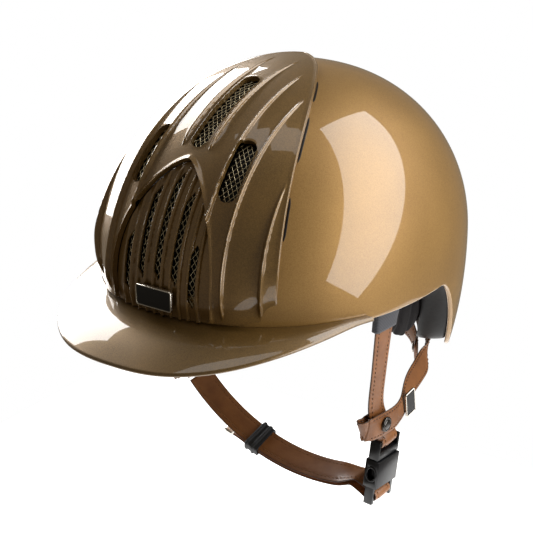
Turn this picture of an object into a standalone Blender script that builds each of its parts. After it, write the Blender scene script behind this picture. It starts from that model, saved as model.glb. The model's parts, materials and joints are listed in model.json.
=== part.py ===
"""Equestrian riding helmet, as an assembly of separate pieces.

Metres, +Z up. The front of the helmet is -Y and the wearer's left is +X.
The origin is inside the wearer's head, level with the rim over the ears.
"""
import math

import bmesh
import bpy
from mathutils import Vector

# ---- shell: a dome that is a little squarer than an ellipsoid ----
HALF_WIDTH = 0.1094
FRONT_LENGTH = 0.1402
BACK_LENGTH = 0.1200
CROWN_HEIGHT = 0.1136
SKIRT_HEIGHT = 0.185            # lower half of the dome, as if it were closed below
DOME_CENTRE = Vector((0.0, 0.0107, 0.0172))
RISE_POWER = 0.976
PLAN_POWER = 0.92
SHELL_WALL = 0.003
BROW_HEIGHT = 0.003             # rim height at the forehead
EAR_HEIGHT = 0.001              # rim height over the ear
SKIRT_DROP = 0.061              # how far the back of the rim hangs below the ear
SKIRT_STARTS = 3.0              # degrees behind the widest line
SKIRT_ENDS = 27.0
GAP = 0.0004                    # clearance between pieces that touch
PAD_GAP = 0.0014                # the pads' own clearance, which also takes up the facets

# ---- layers inside the shell ----
FOAM_WALL = 0.0185
FOAM_RECESS = 0.0015            # foam edge above the shell edge
PAD_WALL = 0.007
HEADBAND_TOP = 0.034
EAR_PAD_DROP = 0.045
NAPE_PAD_BOTTOM = -0.054
CROWN_PAD_RISE = 42.0
CROWN_PAD_SQUASH = 0.8          # the crown pad's rim hangs lower than the dome at this rise
HEADBAND_BOTTOM = -0.002
EAR_PADS = (-12.0, 34.0)        # first and last turn of the pad behind the ear
EAR_PAD_TIPS = -0.010           # height of that pad's two ends
PAD_SPACING = 2.0               # degrees between the neck pads and the nape pad

# ---- raised front panel ----
PANEL_RAISE = 0.005
PANEL_HALF_WIDTH = 0.068
PANEL_CLOSES = 97.0             # degrees from the brow, over the top, to the panel's rear end
PANEL_START = -2.2
PANEL_TAPER = (2.2, 0.66)
RIB_HEIGHT = 0.0028
RIB_WIDTH = 0.0032
RIB_ROOT = 0.001                # how far a rib reaches down into the panel
RIBS = ((0.0095, 52.0, 84.0), (0.0255, 31.0, 79.0), (0.0395, 2.0, 66.0), (0.059, 2.0, 40.0))

# ---- arched grille and vents ----
ARCH_HALF_WIDTH = 0.0347
ARCH_SPRING = 0.030
ARCH_TOP = 0.094
ARCH_POWERS = (2.0, 0.68)
GRILLE_RAISE = 0.0036
GRILLE_BACK = 0.0016
MESH_BACK = 0.0006
MESH_THICK = 0.0005
GRILLE_SLOTS = ((0.0, 0.030, 0.089), (0.012, 0.029, 0.081), (0.0235, 0.017, 0.055))
GRILLE_SLOT_WIDTH = 0.0046
VENT_WIDTH = 0.0115
VENT_MARGIN = 0.0012            # the shell's own slot is narrower than the panel's
TOP_VENT = (Vector((0.0, -0.090, 0.104)), Vector((0.0, -0.030, 0.1325)))
SIDE_VENT = (Vector((0.0330, -0.1070, 0.0800)), Vector((0.0307, -0.0770, 0.1080)))
VENT_DEPTH = 0.034
VENT_RISE = 0.014               # how far the vent cutters stand out of the shell
SLOT_POINT = 0.9                # length of a slot's pointed end over its width

# ---- visor ----
VISOR_HALF_WIDTH = 0.0999
VISOR_REACH = 0.1260
VISOR_ROOT = -0.0513
VISOR_END_HEIGHT = 0.0036
VISOR_DIP = 0.0094
VISOR_POWERS = (0.777, 1.184)
VISOR_SEAT = 0.0088             # top of the visor where it meets the shell, at the middle
VISOR_THICK = 0.0028
VISOR_END_WIDTH = 0.0026
VISOR_BULGE = 0.003             # how much the visor arches between its root and its edge
VISOR_END_RISE = 0.001

# ---- badge ----
BADGE_HALF_WIDTH = 0.0135
BADGE_HEIGHTS = (0.0145, 0.0280)
BADGE_THICK = 0.0022

# ---- harness ----
STRAP_WIDTH = 0.018
STRAP_THICK = 0.0024
LAYER_THICK = 0.0016
SLEEVE_WALL = 0.0009
SLEEVE_GAP = 0.0006
SLEEVE_DROP = 0.016
POCKET_SIZE = (0.024, STRAP_WIDTH + 0.010, 0.046)
REAR_POCKET_SIZE = (STRAP_WIDTH + 0.008, 0.015, 0.032)
REAR_WIDTH = STRAP_WIDTH * 0.92
FLAP_WIDTH = STRAP_WIDTH * 0.84
ANCHOR_RADIUS = 0.0048
ANCHOR_HEIGHT = 0.0012
REAR_ANCHOR_SHARE = 0.8         # size of a rear rivet against a front one
STUD_RADIUS = 0.0050
STUD_HEIGHT = 0.0020
EYELET_RADIUS = 0.0042
EYELET_HOLE = 0.0021
EYELET_HEIGHT = 0.001
EYELET_AT = 0.0081              # from the nape strap's end
EYELET_PLAY = 0.0008            # how much wider than the eyelet's bore the leather is punched
LABEL_SIZE = (0.0105, 0.019, 0.0012)
LABEL_STANDS_OFF = 0.0016

# The chin strap hangs on one arc, so that its keeper can slide round it.
CHIN_CENTRE = Vector((0.035, -0.016, -0.0078))
CHIN_RADIUS = 0.128
CHIN_THICK = 0.0020
TAIL_OFFSET = 0.0034
TAIL_FLARE = 0.0040             # the loose end stands off the strap
CHIN_FROM = -48.3               # degrees from straight down; negative is the wearer's right
CHIN_TO = 17.0
CHIN_TILT = 25.0
CHIN_EASE = 9.0                 # degrees over which the tilt fades at the buckle
TAIL_ENDS = -28.0
FLARE_STARTS = -25.0
FLARE_OVER = 6.0
TIP_ANGLES = (-28.4, -29.8, -31.2)
DIVIDER_AT = -54.0
KEEPER_AT = -20.6
KEEPER_LENGTH = 0.0100
KEEPER_WALL = 0.0018
KEEPER_GAP = 0.0006

# ---- side-release buckle ----
BUCKLE_TOP = Vector((0.0880, -0.0128, -0.1000))
BUCKLE_BOTTOM = Vector((0.0845, -0.0160, -0.1410))
BUCKLE_WIDTH = STRAP_WIDTH + 0.0070
BUCKLE_THICK = 0.0100
INSERT_LENGTH = 0.0128
SOCKET_LENGTH = 0.0195
BUCKLE_WALL = 0.0022
INSERT_THICK = BUCKLE_THICK * 0.72
SHOULDER = 0.001                # the insert starts this far above the buckle's top
INSERT_SLOT = (STRAP_WIDTH + 0.0032, 0.0092)
INSERT_SLOT_AT = 0.0022
TOP_BAR_AT = 0.0007
TONGUE = (0.0040, 0.0130, 0.0030)
TONGUE_AT = 0.004               # middle of the tongue, below the insert
RAIL_WIDTH = 0.0027
RAIL_LENGTH = 0.0130
RAIL_THICK = BUCKLE_THICK * 0.6
RAIL_ROOT = 0.001               # how far a rail reaches up into the socket
RAIL_INSET = 0.00005            # keeps a rail's side from lying in the socket's side
BAR_AT = Vector((0.0843, -0.0160, -0.1388))
BAR_INSET = 0.001               # the bars are this much shorter than the buckle is wide
BAR_RADIUS = 0.0017
TOP_BAR_RADIUS = 0.0012
PRONG_WIDTH = 0.0030
PRONG_PAD = 0.0007
PRONG_PLAY = 0.0003
WINDOW_AT = 0.0098              # middle of the side windows, below the socket's top
WINDOW_LENGTH = 0.0080
PRONG_THICK = 0.0036
PRONG_LENGTH = 0.0150
THUMB_SHARE = (0.75, 0.98)      # a prong's thumb pad against its window's length and its own thickness
THROUGH = 0.03                  # length of a cutter that goes right through

TURNS = 60
PAD_TURNS = 36
RINGS = 10


# ---------------------------------------------------------------- helpers
def material(name, colour, roughness, metallic=0.0):
    """A plain material with one colour."""
    made = bpy.data.materials.new(name)
    made.use_nodes = True
    shader = made.node_tree.nodes["Principled BSDF"]
    shader.inputs["Base Color"].default_value = (*colour, 1.0)
    shader.inputs["Roughness"].default_value = roughness
    shader.inputs["Metallic"].default_value = metallic
    return made


def add_object(name, bm, look, smooth=True):
    """Turn a bmesh into a named object with its faces pointing out."""
    bmesh.ops.remove_doubles(bm, verts=bm.verts, dist=1e-6)
    bmesh.ops.recalc_face_normals(bm, faces=bm.faces)
    mesh = bpy.data.meshes.new(name)
    bm.to_mesh(mesh)
    bm.free()
    made = bpy.data.objects.new(name, mesh)
    bpy.context.collection.objects.link(made)
    if look is not None:
        mesh.materials.append(look)
    if smooth:
        mesh.shade_smooth()
        mesh.set_sharp_from_angle(angle=math.radians(35))
    return made


def guide(made):
    """Mark an object as a cutter."""
    made.hide_render = True
    made.display_type = "WIRE"
    return made


def boolean(target, tool, operation):
    """Cut a piece with a tool, or join the tool to it."""
    step = target.modifiers.new(tool.name, "BOOLEAN")
    step.operation = operation
    step.object = tool
    step.solver = "EXACT"
    return step


def signed_power(value, power):
    return math.copysign(abs(value) ** power, value)


def smooth_step(value):
    value = min(max(value, 0.0), 1.0)
    return value * value * (3 - 2 * value)


def blend(first, second, share):
    return first + (second - first) * share


def smooth_path(points, steps):
    """Points along a smooth curve through the given ones."""
    ends = [points[0] * 2 - points[1], *points, points[-1] * 2 - points[-2]]
    path = []
    for i in range(len(points) - 1):
        a, b, c, d = ends[i:i + 4]
        for k in range(steps):
            t = k / steps
            path.append(0.5 * ((2 * b) + (c - a) * t + (2 * a - 5 * b + 4 * c - d) * t * t
                               + (3 * b - a - 3 * c + d) * t ** 3))
    path.append(points[-1].copy())
    return path


def millimetres(*triples):
    return [Vector(triple) * 0.001 for triple in triples]


def mirrored(points, side):
    """The same points on the wearer's left (1) or right (-1)."""
    return [Vector((p.x * side, p.y, p.z)) for p in points]


# ---------------------------------------------------------------- surfaces
def dome(turn, rise, off=0.0):
    """Point on the dome: turn from the left ear towards the back, rise from the widest line."""
    across = math.cos(math.radians(rise)) ** RISE_POWER
    lift = signed_power(math.sin(math.radians(rise)), RISE_POWER)
    side = signed_power(math.cos(math.radians(turn)), PLAN_POWER)
    back = signed_power(math.sin(math.radians(turn)), PLAN_POWER)
    length = BACK_LENGTH if back > 0 else FRONT_LENGTH
    height = CROWN_HEIGHT if lift > 0 else SKIRT_HEIGHT
    return DOME_CENTRE + Vector(((HALF_WIDTH + off) * across * side,
                                 (length + off) * across * back,
                                 (height + off) * lift))


def rise_at(height, off=0.0):
    """Rise, in degrees, at which the dome has this height."""
    above = height - DOME_CENTRE.z
    half = (CROWN_HEIGHT if above > 0 else SKIRT_HEIGHT) + off
    share = min(abs(above) / half, 1.0) ** (1 / RISE_POWER)
    return math.copysign(math.degrees(math.asin(share)), above)


def rim_height(turn):
    """Height of the shell's edge: level at the front, hanging low at the back."""
    turn = (turn + 90.0) % 360.0 - 90.0
    behind = turn if turn <= 90.0 else 180.0 - turn
    if behind < 0:
        return blend(EAR_HEIGHT, BROW_HEIGHT, smooth_step(-behind / 60.0))
    drop = smooth_step((behind - SKIRT_STARTS) / (SKIRT_ENDS - SKIRT_STARTS))
    return EAR_HEIGHT - SKIRT_DROP * drop


def on_slice(x, angle, off=0.0):
    """Point on the dome at width x, at an angle from the forehead over the top to the back."""
    low = 0.0
    high = 1.3
    across = math.cos(math.radians(angle))
    lift = math.sin(math.radians(angle))
    for _ in range(30):
        reach = (low + high) / 2
        plan = (abs(x / (HALF_WIDTH + off)) ** (2 / PLAN_POWER)
                + abs(reach * across) ** (2 / PLAN_POWER)) ** (PLAN_POWER / RISE_POWER)
        if plan + abs(reach * lift) ** (2 / RISE_POWER) < 1:
            low = reach
        else:
            high = reach
    length = FRONT_LENGTH if across > 0 else BACK_LENGTH
    height = CROWN_HEIGHT if lift > 0 else SKIRT_HEIGHT
    return DOME_CENTRE + Vector((x, -(length + off) * low * across, (height + off) * low * lift))


def slab(name, outer, inner, look, closed=False):
    """Solid between two grids of points; closed grids run all the way round."""
    bm = bmesh.new()
    rows = len(outer)
    columns = len(outer[0])
    sheets = [[[bm.verts.new(p) for p in row] for row in sheet] for sheet in (outer, inner)]
    spans = columns if closed else columns - 1
    for sheet in sheets:
        for i in range(rows - 1):
            for j in range(spans):
                k = (j + 1) % columns
                bm.faces.new((sheet[i][j], sheet[i][k], sheet[i + 1][k], sheet[i + 1][j]))
    top, bottom = sheets
    for i in (0, rows - 1):
        for j in range(spans):
            k = (j + 1) % columns
            bm.faces.new((top[i][j], bottom[i][j], bottom[i][k], top[i][k]))
    if not closed:
        for j in (0, columns - 1):
            for i in range(rows - 1):
                bm.faces.new((top[i][j], top[i + 1][j], bottom[i + 1][j], bottom[i][j]))
    return add_object(name, bm, look)


def cap(name, outer_off, inner_off, rim, look, rings=RINGS, turns=TURNS, raise_rim=0.0):
    """A whole dome layer from its rim to the crown, with no seam on the middle line."""
    bm = bmesh.new()
    sheets = []
    for off in (outer_off, inner_off):
        rows = []
        for i in range(rings):
            row = []
            for j in range(turns):
                turn = 360.0 * (j + 0.5) / turns
                start = rise_at(rim(turn) + raise_rim, off)
                row.append(bm.verts.new(dome(turn, blend(start, 90.0, i / rings), off)))
            rows.append(row)
        crown = bm.verts.new(dome(0.0, 90.0, off))
        for i in range(rings - 1):
            for j in range(turns):
                k = (j + 1) % turns
                bm.faces.new((rows[i][j], rows[i][k], rows[i + 1][k], rows[i + 1][j]))
        for j in range(turns):
            bm.faces.new((rows[-1][j], rows[-1][(j + 1) % turns], crown))
        sheets.append(rows)
    for j in range(turns):
        k = (j + 1) % turns
        bm.faces.new((sheets[0][0][j], sheets[1][0][j], sheets[1][0][k], sheets[0][0][k]))
    return add_object(name, bm, look)


def pad(name, turns, bottom, top, outer_off, inner_off, look, columns=12, rows=4, closed=False):
    """A curved pad lying against the inside of the foam."""
    sheets = []
    steps = columns if closed else columns + 1
    for off in (outer_off, inner_off):
        sheet = []
        for i in range(rows + 1):
            row = []
            for j in range(steps):
                turn = blend(turns[0], turns[1], j / columns)
                height = blend(bottom(turn), top, i / rows)
                row.append(dome(turn, rise_at(height, off), off))
            sheet.append(row)
        sheets.append(sheet)
    return slab(name, sheets[0], sheets[1], look, closed)


def box(name, centre, axes, sizes, look):
    """A box with its own axes."""
    bm = bmesh.new()
    bmesh.ops.create_cube(bm, size=1.0)
    for vert in bm.verts:
        local = vert.co.copy()
        vert.co = centre + sum((axes[i] * (local[i] * sizes[i]) for i in range(3)), Vector())
    return add_object(name, bm, look, smooth=False)


def disc(name, centre, axis, radius, height, look, sides=16):
    """A round plate or post, centred on a point."""
    axis = axis.normalized()
    first = axis.orthogonal().normalized()
    second = axis.cross(first)
    bm = bmesh.new()
    rings = []
    for end in (-0.5, 0.5):
        ring = []
        for k in range(sides):
            a = math.tau * k / sides
            spot = centre + axis * (end * height) + (first * math.cos(a) + second * math.sin(a)) * radius
            ring.append(bm.verts.new(spot))
        rings.append(ring)
    bm.faces.new(rings[0])
    bm.faces.new(rings[1])
    for k in range(sides):
        n = (k + 1) % sides
        bm.faces.new((rings[0][k], rings[0][n], rings[1][n], rings[1][k]))
    return add_object(name, bm, look)


def prism(name, outline, near, far, look=None):
    """A straight prism between two offsets of a closed outline."""
    bm = bmesh.new()
    front = [bm.verts.new(p + near) for p in outline]
    back = [bm.verts.new(p + far) for p in outline]
    bm.faces.new(front)
    bm.faces.new(back)
    for i in range(len(outline)):
        n = (i + 1) % len(outline)
        bm.faces.new((front[i], front[n], back[n], back[i]))
    return add_object(name, bm, look, smooth=False)


def ribbon(name, path, sides, width, thick, look):
    """A flat strap along a path; sides gives the direction of its width at each point."""
    bm = bmesh.new()
    rings = []
    for i, spot in enumerate(path):
        along = (path[min(i + 1, len(path) - 1)] - path[max(i - 1, 0)]).normalized()
        across = sides[i] - along * sides[i].dot(along)
        across = across.normalized() * (width / 2)
        out = along.cross(across).normalized() * (thick / 2)
        corners = (spot - across - out, spot + across - out, spot + across + out, spot - across + out)
        rings.append([bm.verts.new(c) for c in corners])
    for i in range(len(rings) - 1):
        for k in range(4):
            n = (k + 1) % 4
            bm.faces.new((rings[i][k], rings[i][n], rings[i + 1][n], rings[i + 1][k]))
    bm.faces.new(rings[0])
    bm.faces.new(rings[-1])
    return add_object(name, bm, look)


# ---------------------------------------------------------------- shell and vents
def vent_outline(ends, width, out):
    """A long slot with round ends, in the plane square to out."""
    start, finish = ends
    along = (finish - start).normalized()
    across = out.cross(along).normalized()
    radius = width / 2
    centres = (start + along * radius, finish - along * radius)
    outline = []
    for centre, base in ((centres[1], 0.0), (centres[0], 180.0)):
        for k in range(7):
            a = math.radians(base - 90 + 30 * k)
            outline.append(centre + along * (math.cos(a) * radius) + across * (math.sin(a) * radius))
    return outline


def vent_tool(name, ends, width, depth):
    """Cutter for one vent, square to the helmet's surface."""
    middle = (ends[0] + ends[1]) / 2
    out = middle - DOME_CENTRE
    out = Vector((out.x / HALF_WIDTH ** 2, out.y / FRONT_LENGTH ** 2, out.z / CROWN_HEIGHT ** 2)).normalized()
    return guide(prism(name, vent_outline(ends, width, out), out * VENT_RISE, -out * depth))


def arch_outline(shrink, y):
    """The pointed arch, seen from the front."""
    half = ARCH_HALF_WIDTH - shrink
    top = ARCH_TOP - shrink
    foot = DOME_CENTRE.z - 0.03
    right = [Vector((half, y, foot)), Vector((half, y, ARCH_SPRING))]
    for k in range(1, 9):
        share = math.sin(math.radians(90 * k / 9))
        reach = half * (1 - share ** ARCH_POWERS[0]) ** ARCH_POWERS[1]
        right.append(Vector((reach, y, blend(ARCH_SPRING, top, share))))
    left = [Vector((-p.x, p.y, p.z)) for p in reversed(right)]
    return right + [Vector((0.0, y, top))] + left


def panel_edge(angle):
    """Half width of the raised panel at this angle."""
    share = max(angle, 0.0) / PANEL_CLOSES
    return PANEL_HALF_WIDTH * (1 - share ** PANEL_TAPER[0]) ** PANEL_TAPER[1]


def front_skin(name, back, front, look, inset=0.0, columns=16, rows=14):
    """A layer of the front panel between two distances from the shell."""
    sheets = []
    for off in (front, back):
        sheet = []
        for i in range(rows + 1):
            angle = blend(PANEL_START + inset, PANEL_CLOSES - 1.0 - inset, i / rows)
            edge = panel_edge(angle)
            sheet.append([on_slice(edge * (2 * j / columns - 1), angle, off) for j in range(columns + 1)])
        sheets.append(sheet)
    return slab(name, sheets[0], sheets[1], look)


def rib_tool():
    """All the thin ribs of the panel, as one tool that is joined to it."""
    bm = bmesh.new()
    for x, start, finish in RIBS:
        for side in (-1, 1):
            rings = []
            steps = 9
            for i in range(steps + 1):
                angle = blend(start, finish, i / steps)
                height = RIB_HEIGHT * math.sin(math.pi * min(max(i / steps, 0.04), 0.96)) ** 0.4
                half = RIB_WIDTH / 2
                spots = ((-half, PANEL_RAISE - RIB_ROOT), (-half / 3, PANEL_RAISE + height),
                         (half / 3, PANEL_RAISE + height), (half, PANEL_RAISE - RIB_ROOT))
                rings.append([bm.verts.new(on_slice(side * x + dx, angle, off)) for dx, off in spots])
            for i in range(steps):
                for k in range(4):
                    n = (k + 1) % 4
                    bm.faces.new((rings[i][k], rings[i][n], rings[i + 1][n], rings[i + 1][k]))
            bm.faces.new(rings[0])
            bm.faces.new(rings[-1])
    return guide(add_object("rib_tool", bm, None, smooth=False))


def slot_outline(x, low, high, width, y):
    """A narrow upright slot with pointed ends, seen from the front."""
    half = width / 2
    point = width * SLOT_POINT
    return [Vector((x - half, y, low + point)), Vector((x, y, low)), Vector((x + half, y, low + point)),
            Vector((x + half, y, high - point)), Vector((x, y, high)), Vector((x - half, y, high - point))]


def slot_tool(name, width, lengthen, near, far):
    """The five slots of the grille, as one cutter."""
    bm = bmesh.new()
    for x, low, high in GRILLE_SLOTS:
        for side in ((1,) if x == 0 else (1, -1)):
            outline = slot_outline(side * x, low - lengthen, high + lengthen, width, 0.0)
            front = [bm.verts.new(p + Vector((0, near, 0))) for p in outline]
            back = [bm.verts.new(p + Vector((0, far, 0))) for p in outline]
            bm.faces.new(front)
            bm.faces.new(back)
            for i in range(len(outline)):
                n = (i + 1) % len(outline)
                bm.faces.new((front[i], front[n], back[n], back[i]))
    return guide(add_object(name, bm, None, smooth=False))


def make_shell(looks):
    """Outer shell, front panel, grille, vent meshes and foam, with the air slots through them."""
    near = Vector((0.0, -0.170, 0.0))
    far = Vector((0.0, -0.048, 0.0))
    slots = slot_tool("slot_tool", GRILLE_SLOT_WIDTH, 0.0, near.y, far.y)
    vents = {"top": TOP_VENT,
             "left": SIDE_VENT,
             "right": tuple(mirrored(SIDE_VENT, -1))}
    wide = {key: vent_tool(key + "_vent_tool", ends, VENT_WIDTH, VENT_DEPTH) for key, ends in vents.items()}
    deep = {}
    for key, ends in vents.items():
        along = (ends[1] - ends[0]).normalized() * VENT_MARGIN
        inside = (ends[0] + along, ends[1] - along)
        deep[key] = vent_tool(key + "_channel_tool", inside, VENT_WIDTH - 2 * VENT_MARGIN, VENT_DEPTH)

    shell = cap("outer_shell", 0.0, -SHELL_WALL, rim_height, looks["shell"])
    foam_out = -SHELL_WALL - GAP
    foam = cap("eps_liner", foam_out, foam_out - FOAM_WALL, rim_height, looks["foam"], raise_rim=FOAM_RECESS)
    for piece in (shell, foam):
        for tool in (slots, *deep.values()):
            boolean(piece, tool, "DIFFERENCE")

    panel = front_skin("front_panel", MESH_BACK, PANEL_RAISE, looks["panel"])
    boolean(panel, rib_tool(), "UNION")
    arch = guide(prism("arch_tool", arch_outline(0.0, 0.0), near, far))
    for tool in (arch, *wide.values()):
        boolean(panel, tool, "DIFFERENCE")

    grille = front_skin("front_grille", GRILLE_BACK, GRILLE_RAISE, looks["panel"], inset=1.0)
    fitted = guide(prism("grille_tool", arch_outline(GAP, 0.0), near, far))
    boolean(grille, fitted, "INTERSECT")
    boolean(grille, slots, "DIFFERENCE")

    sheet = front_skin("grille_mesh", MESH_BACK, MESH_BACK + MESH_THICK, looks["wire"], inset=1.0)
    boolean(sheet, guide(prism("mesh_tool", arch_outline(0.002, 0.0), near, far)), "INTERSECT")
    for key, ends in vents.items():
        along = (ends[1] - ends[0]).normalized() * GAP
        inside = (ends[0] + along, ends[1] - along)
        fit = vent_tool(key + "_mesh_tool", inside, VENT_WIDTH - 2 * GAP, VENT_DEPTH)
        wire = front_skin(key + "_vent_mesh", MESH_BACK, MESH_BACK + 0.001, looks["wire"], inset=3.0)
        boolean(wire, fit, "INTERSECT")
    return foam


def make_visor(looks):
    """The peak: a curved plate that wraps the front of the shell."""
    columns = 36
    rows = 4
    top = []
    for i in range(rows + 1):
        line = []
        for j in range(columns + 1):
            t = math.radians(blend(-90.0, 90.0, j / columns))
            s = math.sin(t)
            c = max(math.cos(t), 0.0)
            outer = Vector((VISOR_HALF_WIDTH * signed_power(s, VISOR_POWERS[0]),
                            VISOR_ROOT - VISOR_REACH * c ** VISOR_POWERS[1],
                            VISOR_END_HEIGHT - VISOR_DIP * c * c))
            away = outer - DOME_CENTRE
            turn = math.degrees(math.atan2(away.y / FRONT_LENGTH, away.x / HALF_WIDTH))
            seat = blend(VISOR_END_HEIGHT + VISOR_END_RISE, VISOR_SEAT, c)
            inner = dome(turn, rise_at(seat), GAP)
            reach = Vector((outer.x - inner.x, outer.y - inner.y, 0.0))
            outward = Vector((inner.x, inner.y - DOME_CENTRE.y, 0.0)).normalized()
            if reach.dot(outward) < VISOR_END_WIDTH:
                outer = inner + outward * VISOR_END_WIDTH
                outer.z = VISOR_END_HEIGHT
            share = i / rows
            spot = blend(inner, outer, share)
            spot.z += VISOR_BULGE * c * math.sin(math.pi * share)
            line.append(spot)
        top.append(line)
    bottom = [[p - Vector((0, 0, VISOR_THICK)) for p in line] for line in top]
    return slab("visor", top, bottom, looks["visor"])


def make_badge(looks):
    """Blank plate across the foot of the grille."""
    low, high = BADGE_HEIGHTS
    angle = math.degrees(math.asin((low - DOME_CENTRE.z) / SKIRT_HEIGHT))
    foot = on_slice(BADGE_HALF_WIDTH, angle, PANEL_RAISE)
    y = min(on_slice(0.0, 0.0, GRILLE_RAISE).y, foot.y) - GAP
    centre = Vector((0.0, y - BADGE_THICK / 2, (low + high) / 2))
    axes = (Vector((1, 0, 0)), Vector((0, 1, 0)), Vector((0, 0, 1)))
    return box("badge_plate", centre, axes, (2 * BADGE_HALF_WIDTH, BADGE_THICK, high - low), looks["badge"])


# ---------------------------------------------------------------- lining
def rise_height(rise):
    """A level rim at this rise of the shell."""
    height = dome(0.0, rise).z * CROWN_PAD_SQUASH

    def rim(_turn):
        return height
    return rim


def make_lining(looks):
    """Soft pads that lie against the foam."""
    outer = -SHELL_WALL - GAP - FOAM_WALL - PAD_GAP
    inner = outer - PAD_WALL

    def level(_turn):
        return HEADBAND_BOTTOM

    def ear(turn):
        middle = (EAR_PADS[0] + EAR_PADS[1]) / 2
        half = (EAR_PADS[1] - EAR_PADS[0]) / 2
        share = abs(turn - middle) / half
        return blend(-EAR_PAD_DROP, EAR_PAD_TIPS, share ** 2.5)

    def nape(_turn):
        return NAPE_PAD_BOTTOM

    pad("comfort_headband", (0.0, 360.0), level, HEADBAND_TOP, outer, inner, looks["lining"],
        columns=PAD_TURNS, rows=3, closed=True)
    below = HEADBAND_BOTTOM - GAP * 2
    for name, side in (("left_neck_pad", 1), ("right_neck_pad", -1)):
        made = pad(name, EAR_PADS, ear, below, outer, inner, looks["lining"], columns=14)
        if side < 0:
            for vert in made.data.vertices:
                vert.co.x *= -1
            made.data.flip_normals()
    behind = EAR_PADS[1] + PAD_SPACING
    pad("nape_pad", (behind, 180.0 - behind), nape, below, outer, inner, looks["lining"], columns=20)
    crown_rim = rise_height(CROWN_PAD_RISE)
    cap("crown_pad", outer, inner, crown_rim, looks["lining"], rings=4, turns=PAD_TURNS)


# ---------------------------------------------------------------- harness
FITTED_HALF_WIDTH = 0.1094      # shell half width at which the points below were set out
FOLLOWS_FROM = -0.0745          # below this height a strap ignores the shell's width
FOLLOWS_FULLY = -0.062          # above this height it moves with the shell
FOLLOW_DEPTH = 0.008            # depth of a strap and its rivet inside the shell's outer face


def follow_shell(points):
    """Move the upper ends of a strap sideways with the shell's width."""
    scale = HALF_WIDTH / FITTED_HALF_WIDTH
    moved = []
    for p in points:
        share = smooth_step((p.z - FOLLOWS_FROM) / (FOLLOWS_FULLY - FOLLOWS_FROM))
        shift = (p.x + FOLLOW_DEPTH) * (scale - 1.0) * share
        moved.append(Vector((p.x + shift, p.y, p.z)))
    return moved


FRONT_UPPER = millimetres((99.0, -27.0, 15.0), (97.0, -27.0, 1.0), (94.4, -26.5, -13.0), (90.6, -26.0, -46.0))
FRONT_UPPER = follow_shell(FRONT_UPPER)
FRONT_LEFT = FRONT_UPPER + millimetres((88.4, -26.0, -70.0), (88.0, -21.5, -84.0), (87.5, -16.4, -91.5),
                                       (89.3, -13.1, -95.6), (91.2, -12.8, -99.4))
INSERT_TURN = millimetres((91.3, -12.9, -101.6), (89.6, -12.9, -103.7), (86.6, -12.9, -103.8),
                          (84.7, -12.9, -101.6), (84.8, -13.4, -97.4))
FRONT_RIGHT = FRONT_UPPER + millimetres((84.0, -23.0, -67.0), (75.5, -18.0, -76.0))
FOLD_LEFT = Vector((0.0, 0.40, -0.915))
REAR_LEFT = millimetres((89.8, -38.6, -83.6), (91.4, -33.0, -84.2), (91.6, -20.5, -85.6), (91.6, -8.0, -86.2),
                        (88.6, 4.0, -86.8), (85.4, 14.0, -86.0), (81.0, 28.0, -81.0), (76.0, 47.4, -79.6),
                        (71.0, 64.1, -79.0), (67.0, 74.5, -74.0), (63.5, 83.0, -62.0), (61.6, 88.5, -47.0))
REAR_LEFT = follow_shell(REAR_LEFT)
FLAP_LEFT = millimetres((86.0, -37.6, -83.8), (85.0, -32.0, -84.4), (84.4, -20.5, -85.6), (84.4, -7.0, -86.4))
REAR_NAPE = REAR_LEFT[7:]


def widths(count, *stops):
    """Width directions along a path, eased between (place, direction) stops."""
    sides = []
    for i in range(count):
        place = i / (count - 1)
        before = stops[0]
        after = stops[-1]
        for k in range(len(stops) - 1):
            if stops[k][0] <= place <= stops[k + 1][0]:
                before, after = stops[k], stops[k + 1]
        span = max(after[0] - before[0], 1e-6)
        share = smooth_step((place - before[0]) / span)
        sides.append(blend(before[1], after[1], share).normalized())
    return sides


def chin_frame(angle):
    """Directions on the chin strap's arc: away from its centre, along its width, and out of its face."""
    a = math.radians(angle)
    tilt = math.radians(CHIN_TILT * smooth_step((CHIN_TO - angle) / CHIN_EASE))
    away = Vector((math.sin(a), 0.0, -math.cos(a)))
    back = Vector((0.0, 1.0, 0.0))
    return away, back * math.cos(tilt) - away * math.sin(tilt), away * math.cos(tilt) + back * math.sin(tilt)


def chin_point(angle, out=0.0):
    """Point on the chin strap's arc, or this far out of its face."""
    away, _, face = chin_frame(angle)
    return CHIN_CENTRE + away * CHIN_RADIUS + face * out


def chin_side(angle):
    """Direction of the chin strap's width: its back edge is the higher one, level at the buckle."""
    return chin_frame(angle)[1]


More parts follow.
